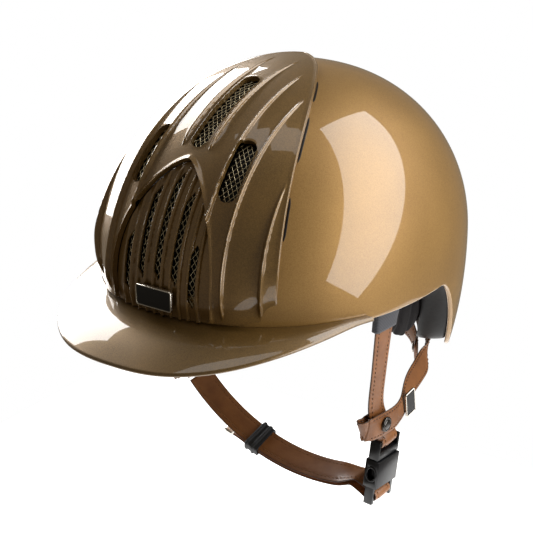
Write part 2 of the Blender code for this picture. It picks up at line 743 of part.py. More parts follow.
def make_front_straps(looks, foam):
    """Leather front straps, their webbing sleeves and the rivets that hold them in the shell."""
    back = Vector((0.29, 0.957, 0.0))
    for word, side, points in (("left", 1, FRONT_LEFT), ("right", -1, FRONT_RIGHT)):
        path = smooth_path(mirrored(points, side), 3)
        top = Vector((back.x * side, back.y, 0.0))
        if side > 0:
            path += smooth_path(INSERT_TURN, 2)
            stops = ((0.0, top), (0.3, Vector((0, 1, 0))), (0.5, Vector((0, 0.94, 0.35))),
                     (0.62, Vector((0, 1, 0))), (1.0, Vector((0, 1, 0))))
        else:
            end = chin_side(-57.0)
            path += [chin_point(a) for a in (-56.0, -54.0, -51.5, -49.0)]
            stops = ((0.0, top), (0.45, Vector((0, 1, 0))), (0.8, end), (1.0, end))
        sides = widths(len(path), *stops)
        ribbon(word + "_front_strap", path, sides, STRAP_WIDTH, STRAP_THICK, looks["leather"])

        # The sleeve is a flat tube round the strap, just below its rivet.
        last = len([p for p in path if p.z > -SLEEVE_DROP])
        room = 2 * SLEEVE_GAP
        walls = 2 * SLEEVE_WALL
        sleeve = ribbon(word + "_strap_sleeve", path[3:last], sides[3:last], STRAP_WIDTH + room + walls,
                        STRAP_THICK + room + walls, looks["webbing"])
        bore = ribbon(word + "_sleeve_tool", path[2:last + 1], sides[2:last + 1], STRAP_WIDTH + room,
                      STRAP_THICK + room, None)
        boolean(sleeve, guide(bore), "DIFFERENCE")

        # A recess in the foam lets the strap run up against the shell.
        out = Vector((side, 0.0, 0.1)).normalized()
        spot = path[2]
        axes = (out, Vector((0, 1, 0)), Vector((0, 0, 1)))
        pocket = guide(box(word + "_pocket_tool", spot + Vector((side * 0.002, 0.0, -0.004)), axes,
                           POCKET_SIZE, None))
        boolean(foam, pocket, "DIFFERENCE")


def divider_points(side):
    """Rear strap, flap, fold direction and stud places of one divider."""
    if side > 0:
        return REAR_LEFT, FLAP_LEFT, -FOLD_LEFT, REAR_LEFT[2], FLAP_LEFT[2]
    _, across, face = chin_frame(DIVIDER_AT)
    middle = chin_point(DIVIDER_AT)
    outer = ((-14.6, 1.6), (-9.0, 3.0), (0.0, 3.1), (8.0, 3.4))
    inner = ((-14.0, -1.6), (-9.0, -2.8), (0.0, -2.9), (11.0, -2.9))
    rear = [middle + across * (q * 0.001) + face * (r * 0.001) for q, r in outer]
    rear += millimetres((-71.0, 4.5, -84.0), (-75.5, 15.0, -84.0), (-79.5, 29.0, -81.0))
    rear += mirrored(REAR_NAPE, -1)
    flap = [middle + across * (q * 0.001) + face * (r * 0.001) for q, r in inner]
    fold = (chin_point(DIVIDER_AT - 1) - chin_point(DIVIDER_AT + 1)).normalized()
    return rear, flap, fold, rear[2], flap[2]


def make_dividers(looks, foam):
    """Rear straps that wrap the front straps, with a press stud, a label and the opening flap."""
    for word, side in (("left", 1), ("right", -1)):
        rear, flap, fold, stud, inside = divider_points(side)
        up = Vector((0, 0, 1))
        path = smooth_path(rear, 3)
        inward = Vector((-0.35 * side, -0.10, 1.0)).normalized()
        round_head = Vector((0.75 * side, -0.62, 0.05)).normalized()
        leaves = (0.14, (fold + up).normalized()) if side > 0 else (0.28, fold)
        at_nape = Vector((0.5 * side, -0.5, 0.7)).normalized()
        sides = widths(len(path), (0.0, fold), leaves, (leaves[0] + 0.17, up), (0.7, inward),
                       (0.86, at_nape), (1.0, round_head))
        ribbon(word + "_rear_strap", path, sides, REAR_WIDTH, LAYER_THICK, looks["leather"])
        path = smooth_path(flap, 2)
        ends = fold if side < 0 else (fold + up).normalized()
        sides = widths(len(path), (0.0, fold), (1.0, ends))
        ribbon(word + "_divider_flap", path, sides, FLAP_WIDTH, LAYER_THICK, looks["leather"])

        axis = (stud - inside).normalized()
        cap_at = stud + axis * (LAYER_THICK / 2 + GAP + STUD_HEIGHT / 2)
        disc(word + "_stud_cap", cap_at, axis, STUD_RADIUS, STUD_HEIGHT, looks["steel"])
        seat = inside - axis * (LAYER_THICK / 2 + GAP + STUD_HEIGHT / 2)
        disc(word + "_stud_socket", seat, axis, STUD_RADIUS * 0.9, STUD_HEIGHT, looks["steel"])

        # The blank label lies on the outside of the rear strap.
        spot = rear[5]
        along = (rear[6] - rear[4]).normalized()
        out = along.cross(up).normalized() * side
        out = out if out.x * side > 0 else -out
        over = out.cross(along).normalized()
        place = spot + out * (LAYER_THICK / 2 + LABEL_SIZE[2] / 2 + LABEL_STANDS_OFF)
        box(word + "_label", place, (along, over, out), LABEL_SIZE, looks["badge"])

        # A recess in the back of the foam takes the top of the rear strap.
        top = rear[-1]
        tangent = Vector((0.75 * side, -0.62, 0.0)).normalized()
        normal = Vector((0.62 * side, 0.75, 0.0)).normalized()
        pocket = guide(box(word + "_rear_pocket_tool", top + Vector((0, 0, -0.006)), (tangent, normal, up),
                           REAR_POCKET_SIZE, None))
        boolean(foam, pocket, "DIFFERENCE")


def make_nape_strap(looks):
    """Leather strip behind the neck, with a metal eyelet near each end."""
    half = millimetres((60.5, 70.0, -80.0), (56.0, 79.0, -77.0), (40.0, 94.0, -72.0), (20.0, 101.5, -70.0))
    points = half + millimetres((0.0, 103.5, -69.5)) + list(reversed(mirrored(half, -1)))
    path = smooth_path(points, 3)
    sides = [Vector((0, 0, 1)) for _ in path]
    strap = ribbon("nape_strap", path, sides, STRAP_WIDTH, CHIN_THICK, looks["leather"])
    for word, side in (("left", 1), ("right", -1)):
        start = mirrored(half, side)[0]
        onward = mirrored(half, side)[1]
        along = (onward - start).normalized()
        out = along.cross(Vector((0, 0, 1))).normalized()
        spot = start + along * EYELET_AT
        hole = disc(word + "_eyelet_tool", spot, out, EYELET_HOLE + EYELET_PLAY, THROUGH, None, 12)
        boolean(strap, guide(hole), "DIFFERENCE")
        facing = -out if out.x * side > 0 else out
        seat = spot + facing * (CHIN_THICK / 2 + 2 * GAP + EYELET_HEIGHT / 2)
        ring = disc(word + "_nape_eyelet", seat, out, EYELET_RADIUS, EYELET_HEIGHT, looks["steel"])
        bore = disc(word + "_eyelet_bore", spot, out, EYELET_HOLE, THROUGH, None, 12)
        boolean(ring, guide(bore), "DIFFERENCE")


def make_anchors(looks):
    """Rivets that hold the tops of the four straps to the inside of the shell."""
    for word, side in (("left", 1), ("right", -1)):
        front = mirrored(FRONT_UPPER, side)[0] + Vector((side * 0.0024, 0.0, -0.0055))
        disc(word + "_front_anchor", front, Vector((side, -0.25, -0.14)), ANCHOR_RADIUS, ANCHOR_HEIGHT,
             looks["steel"])
        rear = mirrored(REAR_LEFT, side)[-1] + Vector((side * 0.0013, 0.0017, -0.004))
        disc(word + "_rear_anchor", rear, Vector((side * 0.62, 0.75, 0.12)), ANCHOR_RADIUS * REAR_ANCHOR_SHARE,
             ANCHOR_HEIGHT, looks["steel"])


def make_chin_strap(looks):
    """Chin strap: one band that turns back round the buckle's bar, with its keeper and tip."""
    count = 26
    angles = [blend(CHIN_FROM, CHIN_TO, i / (count - 1)) for i in range(count)]
    path = [chin_point(a) for a in angles]
    sides = [chin_side(a) for a in angles]
    turn = millimetres((77.0, -16, -132.4), (82.5, -16, -134.8), (87.2, -16, -136.0), (88.8, -16, -138.9),
                       (86.8, -16, -142.0), (82.0, -16, -142.3), (77.0, -16, -139.2))
    path += turn
    sides += [Vector((0, 1, 0))] * len(turn)
    back = [blend(CHIN_TO - 2.5, TAIL_ENDS, i / 16) for i in range(17)]
    flares = [smooth_step((FLARE_STARTS - a) / FLARE_OVER) for a in back]
    path += [chin_point(a, TAIL_OFFSET + TAIL_FLARE * flare) for a, flare in zip(back, flares)]
    sides += [chin_side(a) for a in back]
    ribbon("chin_strap", path, sides, STRAP_WIDTH, CHIN_THICK, looks["leather"])

    tip = [chin_point(a, TAIL_OFFSET + TAIL_FLARE * (0.62 + 0.35 * k)) for k, a in enumerate(TIP_ANGLES)]
    ribbon("strap_tip", tip, [chin_side(-30.0)] * 3, STRAP_WIDTH * 1.04, CHIN_THICK * 1.6, looks["steel"])

    half = math.degrees(KEEPER_LENGTH / 2 / CHIN_RADIUS)
    middle = TAIL_OFFSET / 2
    high = TAIL_OFFSET + CHIN_THICK + 2 * KEEPER_GAP
    spots = [KEEPER_AT - half, KEEPER_AT, KEEPER_AT + half]
    keeper = ribbon("chin_keeper", [chin_point(a, middle) for a in spots], [chin_side(a) for a in spots],
                    STRAP_WIDTH + 2 * (KEEPER_GAP + KEEPER_WALL), high + 2 * KEEPER_WALL, looks["rubber"])
    longer = [KEEPER_AT - 2 * half, KEEPER_AT, KEEPER_AT + 2 * half]
    bore = ribbon("keeper_tool", [chin_point(a, middle) for a in longer], [chin_side(a) for a in longer],
                  STRAP_WIDTH + 2 * KEEPER_GAP, high, None)
    boolean(keeper, guide(bore), "DIFFERENCE")


def make_buckle(looks):
    """Side-release buckle: insert with two sprung prongs, and a socket with its strap bar."""
    down = (BUCKLE_BOTTOM - BUCKLE_TOP).normalized()
    across = (Vector((0, 1, 0)) - down * down.y).normalized()
    out = down.cross(across).normalized()
    axes = (across, down, out)

    def at(side, along, depth=0.0):
        return BUCKLE_TOP + across * side + down * along + out * depth

    # Insert: a frame for the strap, a shoulder and the centre tongue.
    insert = box("buckle_insert", at(0, INSERT_LENGTH / 2 - SHOULDER), axes,
                 (BUCKLE_WIDTH, INSERT_LENGTH, INSERT_THICK), looks["nylon"])
    slot = guide(box("insert_slot_tool", at(0, INSERT_SLOT_AT), axes, (*INSERT_SLOT, THROUGH), None))
    boolean(insert, slot, "DIFFERENCE")
    bar_length = BUCKLE_WIDTH - BAR_INSET
    top_bar = disc("top_bar_tool", at(0, TOP_BAR_AT), across, TOP_BAR_RADIUS, bar_length, None, 12)
    boolean(insert, guide(top_bar), "UNION")
    tongue = guide(box("tongue_tool", at(0, INSERT_LENGTH + TONGUE_AT), axes, TONGUE, None))
    boolean(insert, tongue, "UNION")

    # Socket: a sleeve with side windows, rails and the bar that the chin strap turns round.
    start = INSERT_LENGTH - SHOULDER + 2 * GAP
    socket = box("buckle_socket", at(0, start + SOCKET_LENGTH / 2), axes,
                 (BUCKLE_WIDTH, SOCKET_LENGTH, BUCKLE_THICK), looks["nylon"])
    depth = SOCKET_LENGTH - BUCKLE_WALL
    mouth = 0.002
    room = BUCKLE_THICK - 2 * BUCKLE_WALL
    hollow = guide(box("socket_hollow_tool", at(0, start + depth / 2 - mouth), axes,
                       (BUCKLE_WIDTH - 2 * BUCKLE_WALL, depth + 2 * mouth, room), None))
    window = guide(box("window_tool", at(0, start + WINDOW_AT), axes,
                       (BUCKLE_WIDTH * 2, WINDOW_LENGTH, room), None))
    for tool in (hollow, window):
        boolean(socket, tool, "DIFFERENCE")
    rail_at = (BUCKLE_WIDTH - RAIL_WIDTH) / 2 - RAIL_INSET
    for k, side in enumerate((-1, 1)):
        below = start + SOCKET_LENGTH + RAIL_LENGTH / 2 - RAIL_ROOT
        rail = box(f"rail_tool_{k}", at(side * rail_at, below), axes,
                   (RAIL_WIDTH, RAIL_LENGTH, RAIL_THICK), None)
        boolean(socket, guide(rail), "UNION")
    bar = disc("bar_tool", BAR_AT, across, BAR_RADIUS, bar_length, None, 12)
    boolean(socket, guide(bar), "UNION")

    # The prongs stand beside the tongue, and their pads stop just inside the side windows.
    for word, side in (("front", -1), ("rear", 1)):
        wall = BUCKLE_WIDTH / 2 - BUCKLE_WALL
        edge = wall - PRONG_PLAY - PRONG_PAD - PRONG_WIDTH / 2
        root = INSERT_LENGTH - SHOULDER + GAP
        arm = box(f"prong_{word}", at(side * edge, root + PRONG_LENGTH / 2), axes,
                  (PRONG_WIDTH, PRONG_LENGTH, PRONG_THICK), looks["nylon"])
        thumb = box(f"thumb_tool_{word}", at(side * (edge + PRONG_PAD), start + WINDOW_AT), axes,
                    (PRONG_WIDTH, WINDOW_LENGTH * THUMB_SHARE[0], PRONG_THICK * THUMB_SHARE[1]), None)
        boolean(arm, guide(thumb), "UNION")


# ---------------------------------------------------------------- build
def main():
    for old in list(bpy.data.objects):
        bpy.data.objects.remove(old, do_unlink=True)
    looks = {
        "shell": material("bronze_lacquer", (0.40, 0.24, 0.09), 0.22, 0.75),
        "panel": material("dark_bronze_lacquer", (0.16, 0.09, 0.03), 0.20, 0.75),
        "visor": material("visor_lacquer", (0.22, 0.13, 0.05), 0.20, 0.75),
        "wire": material("steel_wire_mesh", (0.60, 0.55, 0.45), 0.35, 1.0),
        "badge": material("blank_badge", (0.02, 0.02, 0.02), 0.40, 0.2),
        "foam": material("moulded_foam", (0.012, 0.010, 0.010), 0.35),
        "lining": material("black_lining_fabric", (0.015, 0.013, 0.013), 0.90),
        "leather": material("tan_leather", (0.30, 0.15, 0.06), 0.50),
        "webbing": material("grey_webbing", (0.07, 0.07, 0.08), 0.75),
        "steel": material("dark_plated_steel", (0.35, 0.35, 0.36), 0.25, 1.0),
        "rubber": material("black_rubber", (0.03, 0.03, 0.03), 0.60),
        "nylon": material("black_nylon", (0.02, 0.02, 0.022), 0.40),
    }
    foam = make_shell(looks)
    make_visor(looks)
    make_badge(looks)
    make_lining(looks)
    make_front_straps(looks, foam)
    make_dividers(looks, foam)
    make_nape_strap(looks)
    make_anchors(looks)
    make_chin_strap(looks)
    make_buckle(looks)


main()
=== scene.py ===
# %% [markdown]
# # An equestrian riding helmet
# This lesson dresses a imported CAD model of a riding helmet. The CAD part fixes every size, place and joint.
# Here each plain solid gets a finer shape and a real finish. The cells build the lacquered shell first,
# then the wire mesh, the peak, the linings, the leather harness, the buckle, and last the studio.

# %% Load the frame
import json
import math

import bmesh
import bpy
import numpy as np
from mathutils import Matrix, Quaternion, Vector

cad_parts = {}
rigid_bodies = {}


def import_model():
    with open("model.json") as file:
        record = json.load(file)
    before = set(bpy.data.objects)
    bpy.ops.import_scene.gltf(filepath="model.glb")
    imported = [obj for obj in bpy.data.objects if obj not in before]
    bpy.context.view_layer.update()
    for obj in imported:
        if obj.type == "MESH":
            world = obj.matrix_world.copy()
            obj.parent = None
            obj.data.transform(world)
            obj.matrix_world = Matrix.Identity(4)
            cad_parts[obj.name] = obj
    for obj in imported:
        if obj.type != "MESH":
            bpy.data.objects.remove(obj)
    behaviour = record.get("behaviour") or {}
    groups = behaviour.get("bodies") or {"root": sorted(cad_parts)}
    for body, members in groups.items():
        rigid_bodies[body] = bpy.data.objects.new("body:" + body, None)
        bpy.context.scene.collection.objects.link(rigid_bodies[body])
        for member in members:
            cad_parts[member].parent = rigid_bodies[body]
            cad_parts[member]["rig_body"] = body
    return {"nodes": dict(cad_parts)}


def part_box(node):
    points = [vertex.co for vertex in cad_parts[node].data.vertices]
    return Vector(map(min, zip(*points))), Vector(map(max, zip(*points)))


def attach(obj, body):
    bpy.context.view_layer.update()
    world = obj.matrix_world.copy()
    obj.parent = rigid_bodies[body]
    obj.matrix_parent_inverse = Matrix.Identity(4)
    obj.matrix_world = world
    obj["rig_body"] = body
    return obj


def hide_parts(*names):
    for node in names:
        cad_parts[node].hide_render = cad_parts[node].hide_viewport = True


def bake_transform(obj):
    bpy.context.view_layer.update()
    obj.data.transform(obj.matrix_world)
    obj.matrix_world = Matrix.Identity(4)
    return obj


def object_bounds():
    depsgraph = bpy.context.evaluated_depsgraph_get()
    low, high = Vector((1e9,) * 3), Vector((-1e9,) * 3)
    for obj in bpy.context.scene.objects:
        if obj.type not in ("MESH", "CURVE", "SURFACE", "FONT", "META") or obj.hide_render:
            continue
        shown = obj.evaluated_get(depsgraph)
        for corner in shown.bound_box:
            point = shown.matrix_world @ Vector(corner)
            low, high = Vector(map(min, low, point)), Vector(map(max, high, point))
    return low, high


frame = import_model()
cad_low, cad_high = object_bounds()
MM = 0.001
print("CAD box in mm:", [round((b - a) / MM, 1) for a, b in zip(cad_low, cad_high)])

# %% [markdown]
# ## Small helpers
# Blender's shaders want linear colour, while people choose colours as sRGB hex codes, so one function
# converts them. A second one adds a shader node with its settings and links in one line. A third turns
# arrays of points and faces into an object that rides on a body of the CAD part.

# %% Colour, node and mesh helpers
def colour(code):
    """sRGB hex code to the linear red, green, blue and alpha that a shader wants."""
    parts = [int(code[i:i + 2], 16) / 255 for i in (1, 3, 5)]
    return (*[c / 12.92 if c <= 0.04045 else ((c + 0.055) / 1.055) ** 2.4 for c in parts], 1.0)


def add(tree, kind, settings=None, links=None):
    """Add one node: settings go to properties or inputs, links join other nodes' outputs to its inputs."""
    made = tree.nodes.new(kind)
    for key, value in (settings or {}).items():
        if isinstance(key, str) and hasattr(made, key):
            setattr(made, key, value)
        else:
            made.inputs[key].default_value = value
    for key, source in (links or {}).items():
        tree.links.new(source, made.inputs[key])
    return made


def start_material(name, **settings):
    """A new material with its shader's own sockets set."""
    made = bpy.data.materials.new(name)
    made.use_nodes = True
    shader = made.node_tree.nodes["Principled BSDF"]
    for key, value in settings.items():
        shader.inputs[key.replace("_", " ")].default_value = value
    return made, made.node_tree, shader


def tint(ramp, dark, light, low=0.0, high=1.0):
    """Set the two ends of a colour ramp: their colours and their places."""
    ends = ramp.color_ramp.elements
    ends[0].color, ends[1].color = colour(dark), colour(light)
    ends[0].position, ends[1].position = low, high


def stand(name, data):
    """Put a mesh, a lamp or a camera into the scene as a new object."""
    made = bpy.data.objects.new(name, data)
    bpy.context.scene.collection.objects.link(made)
    return made


def build(name, points, faces, looks, body, replaces=(), which=None, uv=None, sharp=None):
    """An object from arrays, riding on a body: which is each face's material, sharp a crease's angle."""
    mesh = bpy.data.meshes.new(name)
    mesh.from_pydata(np.asarray(points, float).tolist(), [], [list(map(int, f)) for f in faces])
    for look in looks:
        mesh.materials.append(look)
    if which is not None:
        mesh.polygons.foreach_set("material_index", np.asarray(which, np.int32))
    if uv is not None:
        layer = mesh.uv_layers.new(name="metres")
        corners = np.zeros(len(mesh.loops), np.int32)
        mesh.loops.foreach_get("vertex_index", corners)
        layer.data.foreach_set("uv", np.asarray(uv, np.float32)[corners].ravel())
    bm = bmesh.new()
    bm.from_mesh(mesh)
    bmesh.ops.recalc_face_normals(bm, faces=bm.faces)
    bm.to_mesh(mesh)
    bm.free()
    mesh.shade_smooth()
    if sharp:
        mesh.set_sharp_from_angle(angle=math.radians(sharp))
    made = stand(name, mesh)
    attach(made, body)
    if replaces:
        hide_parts(*replaces)
    return made


def quads(rows, columns, closed=False):
    """Faces of a grid of points that is stored row by row."""
    spans = columns if closed else columns - 1
    i, j = np.meshgrid(np.arange(rows - 1), np.arange(spans), indexing="ij")
    k = (j + 1) % columns
    return np.stack([i * columns + j, i * columns + k, (i + 1) * columns + k, (i + 1) * columns + j],
                    axis=-1).reshape(-1, 4)


def capped(rows, columns):
    """Faces of a closed tube of points, with one flat face on each end."""
    ends = [list(range(columns)), list(range((rows - 1) * columns, rows * columns))]
    return quads(rows, columns, closed=True).tolist() + ends


def ease(value):
    """A share that starts and ends gently."""
    value = np.clip(value, 0.0, 1.0)
    return value * value * (3 - 2 * value)


def mix(first, second, share):
    """The value that lies this share of the way from the first to the second."""
    return first + (second - first) * share


print("helpers ready")

# %% [markdown]
# ## The lacquer
# The shell is injection-moulded ABS, sprayed with a gold-bronze base coat full of fine metal flake and
# then a thick clear coat. The eye sees two things at once: a soft metallic glow that brightens towards
# the lamps, and sharp mirror-like reflections on top. The Principled shader's coat layer gives the
# second. The flake is a cell pattern that shifts each cell's brightness and tilts it a little.

# %% Lacquer materials
FLAKE_MM = 0.45         # real flake is under 0.1 mm, drawn coarser so that its grain can show
METAL_SHARE = 0.45      # about half of the pigment is metal flake, the rest is ordinary colour
CELL_SHARE = 0.55       # how much one flake's own shade counts beside the slow drift
DRIFT_SCALE = 22.0      # the drift's cloudy patches, in patches per metre


def lacquer(name, dark, light, rough):
    """Sprayed metallic lacquer under a clear coat."""
    made, tree, shader = start_material(name, Metallic=METAL_SHARE, Roughness=rough, Coat_Weight=1.0,
                                        Coat_Roughness=0.025, Coat_IOR=1.52)
    place = add(tree, "ShaderNodeTexCoord")
    flake = add(tree, "ShaderNodeTexVoronoi", {"Scale": 1 / (FLAKE_MM * MM)},
                {"Vector": place.outputs["Object"]})
    cell = add(tree, "ShaderNodeSeparateColor", links={"Color": flake.outputs["Color"]})
    drift = add(tree, "ShaderNodeTexNoise", {"Scale": DRIFT_SCALE, "Detail": 3.0},
                {"Vector": place.outputs["Object"]})
    share = add(tree, "ShaderNodeMath", {"operation": "MULTIPLY_ADD", 1: CELL_SHARE},
                {0: cell.outputs["Red"], 2: drift.outputs["Fac"]})
    # taking about half of that share away again keeps the mean tone midway between dark and light
    shifted = add(tree, "ShaderNodeMath", {"operation": "SUBTRACT", 1: 0.27}, {0: share.outputs[0]})
    paint = add(tree, "ShaderNodeMix", {"data_type": "RGBA"})
    paint.inputs[6].default_value = colour(dark)
    paint.inputs[7].default_value = colour(light)
    tree.links.new(shifted.outputs[0], paint.inputs[0])
    tilt = add(tree, "ShaderNodeBump", {"Strength": 0.10, "Distance": 0.05 * MM},
               {"Height": cell.outputs["Green"]})
    tree.links.new(paint.outputs[2], shader.inputs["Base Color"])
    tree.links.new(tilt.outputs[0], shader.inputs["Normal"])
    return made


shell_lacquer = lacquer("sprayed_bronze_lacquer_on_ABS_shell", "#876430", "#a57f43", 0.46)
# The panel and its grille carry the shell's own paint drawn darker. That is painted shade, because the front
# faces a darker part of the room.
panel_lacquer_painted_shade = lacquer("bronze_lacquer_darkened_as_painted_shade_on_ABS_panel", "#5c451c", "#866531", 0.42)
# The peak carries the same paint drawn darker still, which is painted shade as well.
peak_lacquer_painted_shade = lacquer("bronze_lacquer_darkened_as_painted_shade_on_ABS_peak", "#523d19", "#785b2b", 0.42)
print("lacquers:", shell_lacquer.name, panel_lacquer_painted_shade.name, peak_lacquer_painted_shade.name)

# %% [markdown]
# ## The dome
# Every part of the shell lies on one dome, a little squarer than an ellipsoid. The CAD part uses the same
# numbers, so surfaces made here land exactly on it. Working with whole arrays of points is quick, which
# lets the grids be fine enough for clean reflections.

# %% The dome's numbers and functions
HALF_WIDTH, FRONT_LENGTH, BACK_LENGTH = 0.1094, 0.1402, 0.1200
CROWN_HEIGHT, SKIRT_HEIGHT = 0.1136, 0.185      # the dome's half heights above and below its widest line
DOME_CENTRE = np.array((0.0, 0.0107, 0.0172))
RISE_POWER, PLAN_POWER = 0.976, 0.92            # 1 would be an ellipse, less is squarer
SHELL_WALL, GAP = 0.003, 0.0004
BROW_HEIGHT, EAR_HEIGHT, SKIRT_DROP = 0.003, 0.001, 0.061
SKIRT_STARTS, SKIRT_ENDS = 3.0, 27.0            # degrees behind the ear
BROW_SPAN = 60.0                                # degrees over which the brow rises
HALVINGS = 34                                   # steps of a search, each halves its error


def signed_power(value, power):
    """A power that keeps the sign."""
    return np.sign(value) * np.abs(value) ** power


def dome(turn, rise, off=0.0):
    """Points on the dome: turn from the left ear towards the back, rise from the widest line, in degrees."""
    turn, rise, off = np.broadcast_arrays(np.radians(turn), np.radians(rise), off)
    across = np.abs(np.cos(rise)) ** RISE_POWER
    lift = signed_power(np.sin(rise), RISE_POWER)
    side = signed_power(np.cos(turn), PLAN_POWER)
    back = signed_power(np.sin(turn), PLAN_POWER)
    length = np.where(back > 0, BACK_LENGTH, FRONT_LENGTH)
    height = np.where(lift > 0, CROWN_HEIGHT, SKIRT_HEIGHT)
    return DOME_CENTRE + np.stack([(HALF_WIDTH + off) * across * side, (length + off) * across * back,
                                   (height + off) * lift], axis=-1)


def rise_at(height, off=0.0):
    """Rise, in degrees, at which the dome has this height."""
    above = np.asarray(height) - DOME_CENTRE[2]
    half = np.where(above > 0, CROWN_HEIGHT, SKIRT_HEIGHT) + off
    share = np.minimum(np.abs(above) / half, 1.0) ** (1 / RISE_POWER)
    return np.sign(above) * np.degrees(np.arcsin(share))


def rim_height(turn):
    """Height of the shell's edge: level at the front, hanging low at the back."""
    turn = (np.asarray(turn) + 90.0) % 360.0 - 90.0
    behind = np.where(turn <= 90.0, turn, 180.0 - turn)
    front = mix(EAR_HEIGHT, BROW_HEIGHT, ease(-behind / BROW_SPAN))
    back = EAR_HEIGHT - SKIRT_DROP * ease((behind - SKIRT_STARTS) / (SKIRT_ENDS - SKIRT_STARTS))
    return np.where(behind < 0, front, back)


def level_of(points, off=0.0):
    """Below 1 inside the dome, above 1 outside."""
    p = points - DOME_CENTRE
    length = np.where(p[..., 1] > 0, BACK_LENGTH, FRONT_LENGTH) + off
    height = np.where(p[..., 2] > 0, CROWN_HEIGHT, SKIRT_HEIGHT) + off
    plan = (np.abs(p[..., 0] / (HALF_WIDTH + off)) ** (2 / PLAN_POWER)
            + np.abs(p[..., 1] / length) ** (2 / PLAN_POWER))
    return plan ** (PLAN_POWER / RISE_POWER) + np.abs(p[..., 2] / height) ** (2 / RISE_POWER)


def normal_of(points, off=0.0):
    """Directions square to the dome."""
    step = 1e-4
    parts = [level_of(points + np.eye(3)[k] * step, off) - level_of(points - np.eye(3)[k] * step, off)
             for k in range(3)]
    n = np.stack(parts, axis=-1)
    return n / np.linalg.norm(n, axis=-1, keepdims=True)


def on_slice(x, angle, off=0.0):
    """Points on the dome at width x, at an angle from the forehead over the top to the back."""
    x, angle = np.broadcast_arrays(np.asarray(x, float), np.radians(angle))
    low, high = np.zeros(x.shape), np.full(x.shape, 1.3)
    across, lift = np.cos(angle), np.sin(angle)
    for _ in range(HALVINGS):
        reach = (low + high) / 2
        plan = (np.abs(x / (HALF_WIDTH + off)) ** (2 / PLAN_POWER)
                + np.abs(reach * across) ** (2 / PLAN_POWER)) ** (PLAN_POWER / RISE_POWER)
        inside = plan + np.abs(reach * lift) ** (2 / RISE_POWER) < 1
        low, high = np.where(inside, reach, low), np.where(inside, high, reach)
    length = np.where(across > 0, FRONT_LENGTH, BACK_LENGTH) + off
    height = np.where(lift > 0, CROWN_HEIGHT, SKIRT_HEIGHT) + off
    return DOME_CENTRE + np.stack([x, -length * low * across, height * low * lift], axis=-1)


def drop_on(points, direction, off=0.0, reach=0.04):
    """Slide points along a direction until they lie on the dome."""
    points, direction = np.asarray(points, float), np.asarray(direction, float)
    low, high = np.full(points.shape[:-1], -reach), np.full(points.shape[:-1], reach)
    for _ in range(HALVINGS):
        middle = (low + high) / 2
        inside = level_of(points + middle[..., None] * direction, off) < 1
        low, high = np.where(inside, middle, low), np.where(inside, high, middle)
    return points + low[..., None] * direction


print("dome height in mm:", round(float(dome(0, 90)[2] / MM), 1))

# %% [markdown]
# ## The outer shell
# The shell is one moulding with a thin rounded rim. A grid that runs down the outside, round the rim in
# a half circle and back up the inside gives the light a real edge to catch.

# %% Build the outer shell
SHELL_TURNS, SHELL_RINGS, RIM_STEPS = 300, 96, 8
INSIDE_RISE = 30.0              # degrees that the inside climbs from the rim, the foam hides the rest


def layer(outer, inner, rim, inside_rise, rings=SHELL_RINGS, turns=SHELL_TURNS, edge=0.8):
    """A dome layer with a rounded rim: rows down the outside, round the rim and up the inside."""
    turn = 360.0 * (np.arange(turns) + 0.5) / turns
    height = rim(turn)
    rows = [dome(turn, mix(90.0, rise_at(height, outer), i / rings), outer) for i in range(1, rings + 1)]
    for k in range(1, RIM_STEPS + 1):
        a = math.pi * k / RIM_STEPS
        off = mix(outer, inner, (1 - math.cos(a)) / 2)
        low = height - (outer - inner) / 2 * edge * math.sin(a)
        rows.append(dome(turn, rise_at(low, off), off))
    steps = max(int(rings * 0.7), 4)
    for k in range(1, steps + 1):
        top = np.minimum(rise_at(height, inner) + inside_rise * k / steps, 88.0)
        rows.append(dome(turn, top, inner))
    points = np.concatenate([dome(0, 90, outer)[None], np.concatenate(rows)])
    faces = [list(f + 1) for f in quads(len(rows), turns, closed=True)]
    faces += [[0, j + 1, (j + 1) % turns + 1] for j in range(turns)]
    return points, faces


points, faces = layer(0.0, -SHELL_WALL, rim_height, INSIDE_RISE)
build("lacquered_shell", points, faces, [shell_lacquer], "helmet", ["outer_shell"])
print("shell points:", len(points))

# %% [markdown]
# ## Holes with clean edges
# The front panel has an arch, three vents and many thin ribs. A boolean on such a fine grid is slow and
# leaves long thin triangles, so the holes are made in the grid itself. Faces inside an outline are
# dropped, the points beside it slide onto the outline, and a short wall runs inwards from the new edge.

# %% Outlines and the hole tools
def distance_to(outline, spots):
    """Signed distance from spots to a closed outline (negative inside), and the nearest outline points."""
    start, end = outline, np.roll(outline, -1, axis=0)
    span = end - start
    best = np.full(len(spots), 1e9)
    nearest = np.zeros_like(spots)
    inside = np.zeros(len(spots), bool)
    for s, e, d in zip(start, end, span):
        share = np.clip(((spots - s) @ d) / max(d @ d, 1e-18), 0, 1)
        spot = s + share[:, None] * d
        gap = np.linalg.norm(spots - spot, axis=1)
        closer = gap < best
        best, nearest = np.where(closer, gap, best), np.where(closer[:, None], spot, nearest)
        crosses = (s[1] > spots[:, 1]) != (e[1] > spots[:, 1])
        rise = np.where(abs(d[1]) > 1e-15, d[1], 1e-15)
        inside ^= crosses & (spots[:, 0] < s[0] + (spots[:, 1] - s[1]) * d[0] / rise)
    return np.where(inside, -best, best), nearest


def plane(origin, first, second):
    """A drawing plane: its origin, its two axes and the direction square to it."""
    first, second = np.asarray(first, float), np.asarray(second, float)
    first = first / np.linalg.norm(first)
    second = second - first * (second @ first)
    second = second / np.linalg.norm(second)
    return np.asarray(origin, float), first, second, np.cross(first, second)


def flat(points, frame_plane):
    """The points as drawn on the plane."""
    origin, first, second, _ = frame_plane
    return np.stack([(points - origin) @ first, (points - origin) @ second], axis=-1)


LEAST_LEAN = 0.2                # keeps a point from sliding far where the dome turns edge-on to the plane


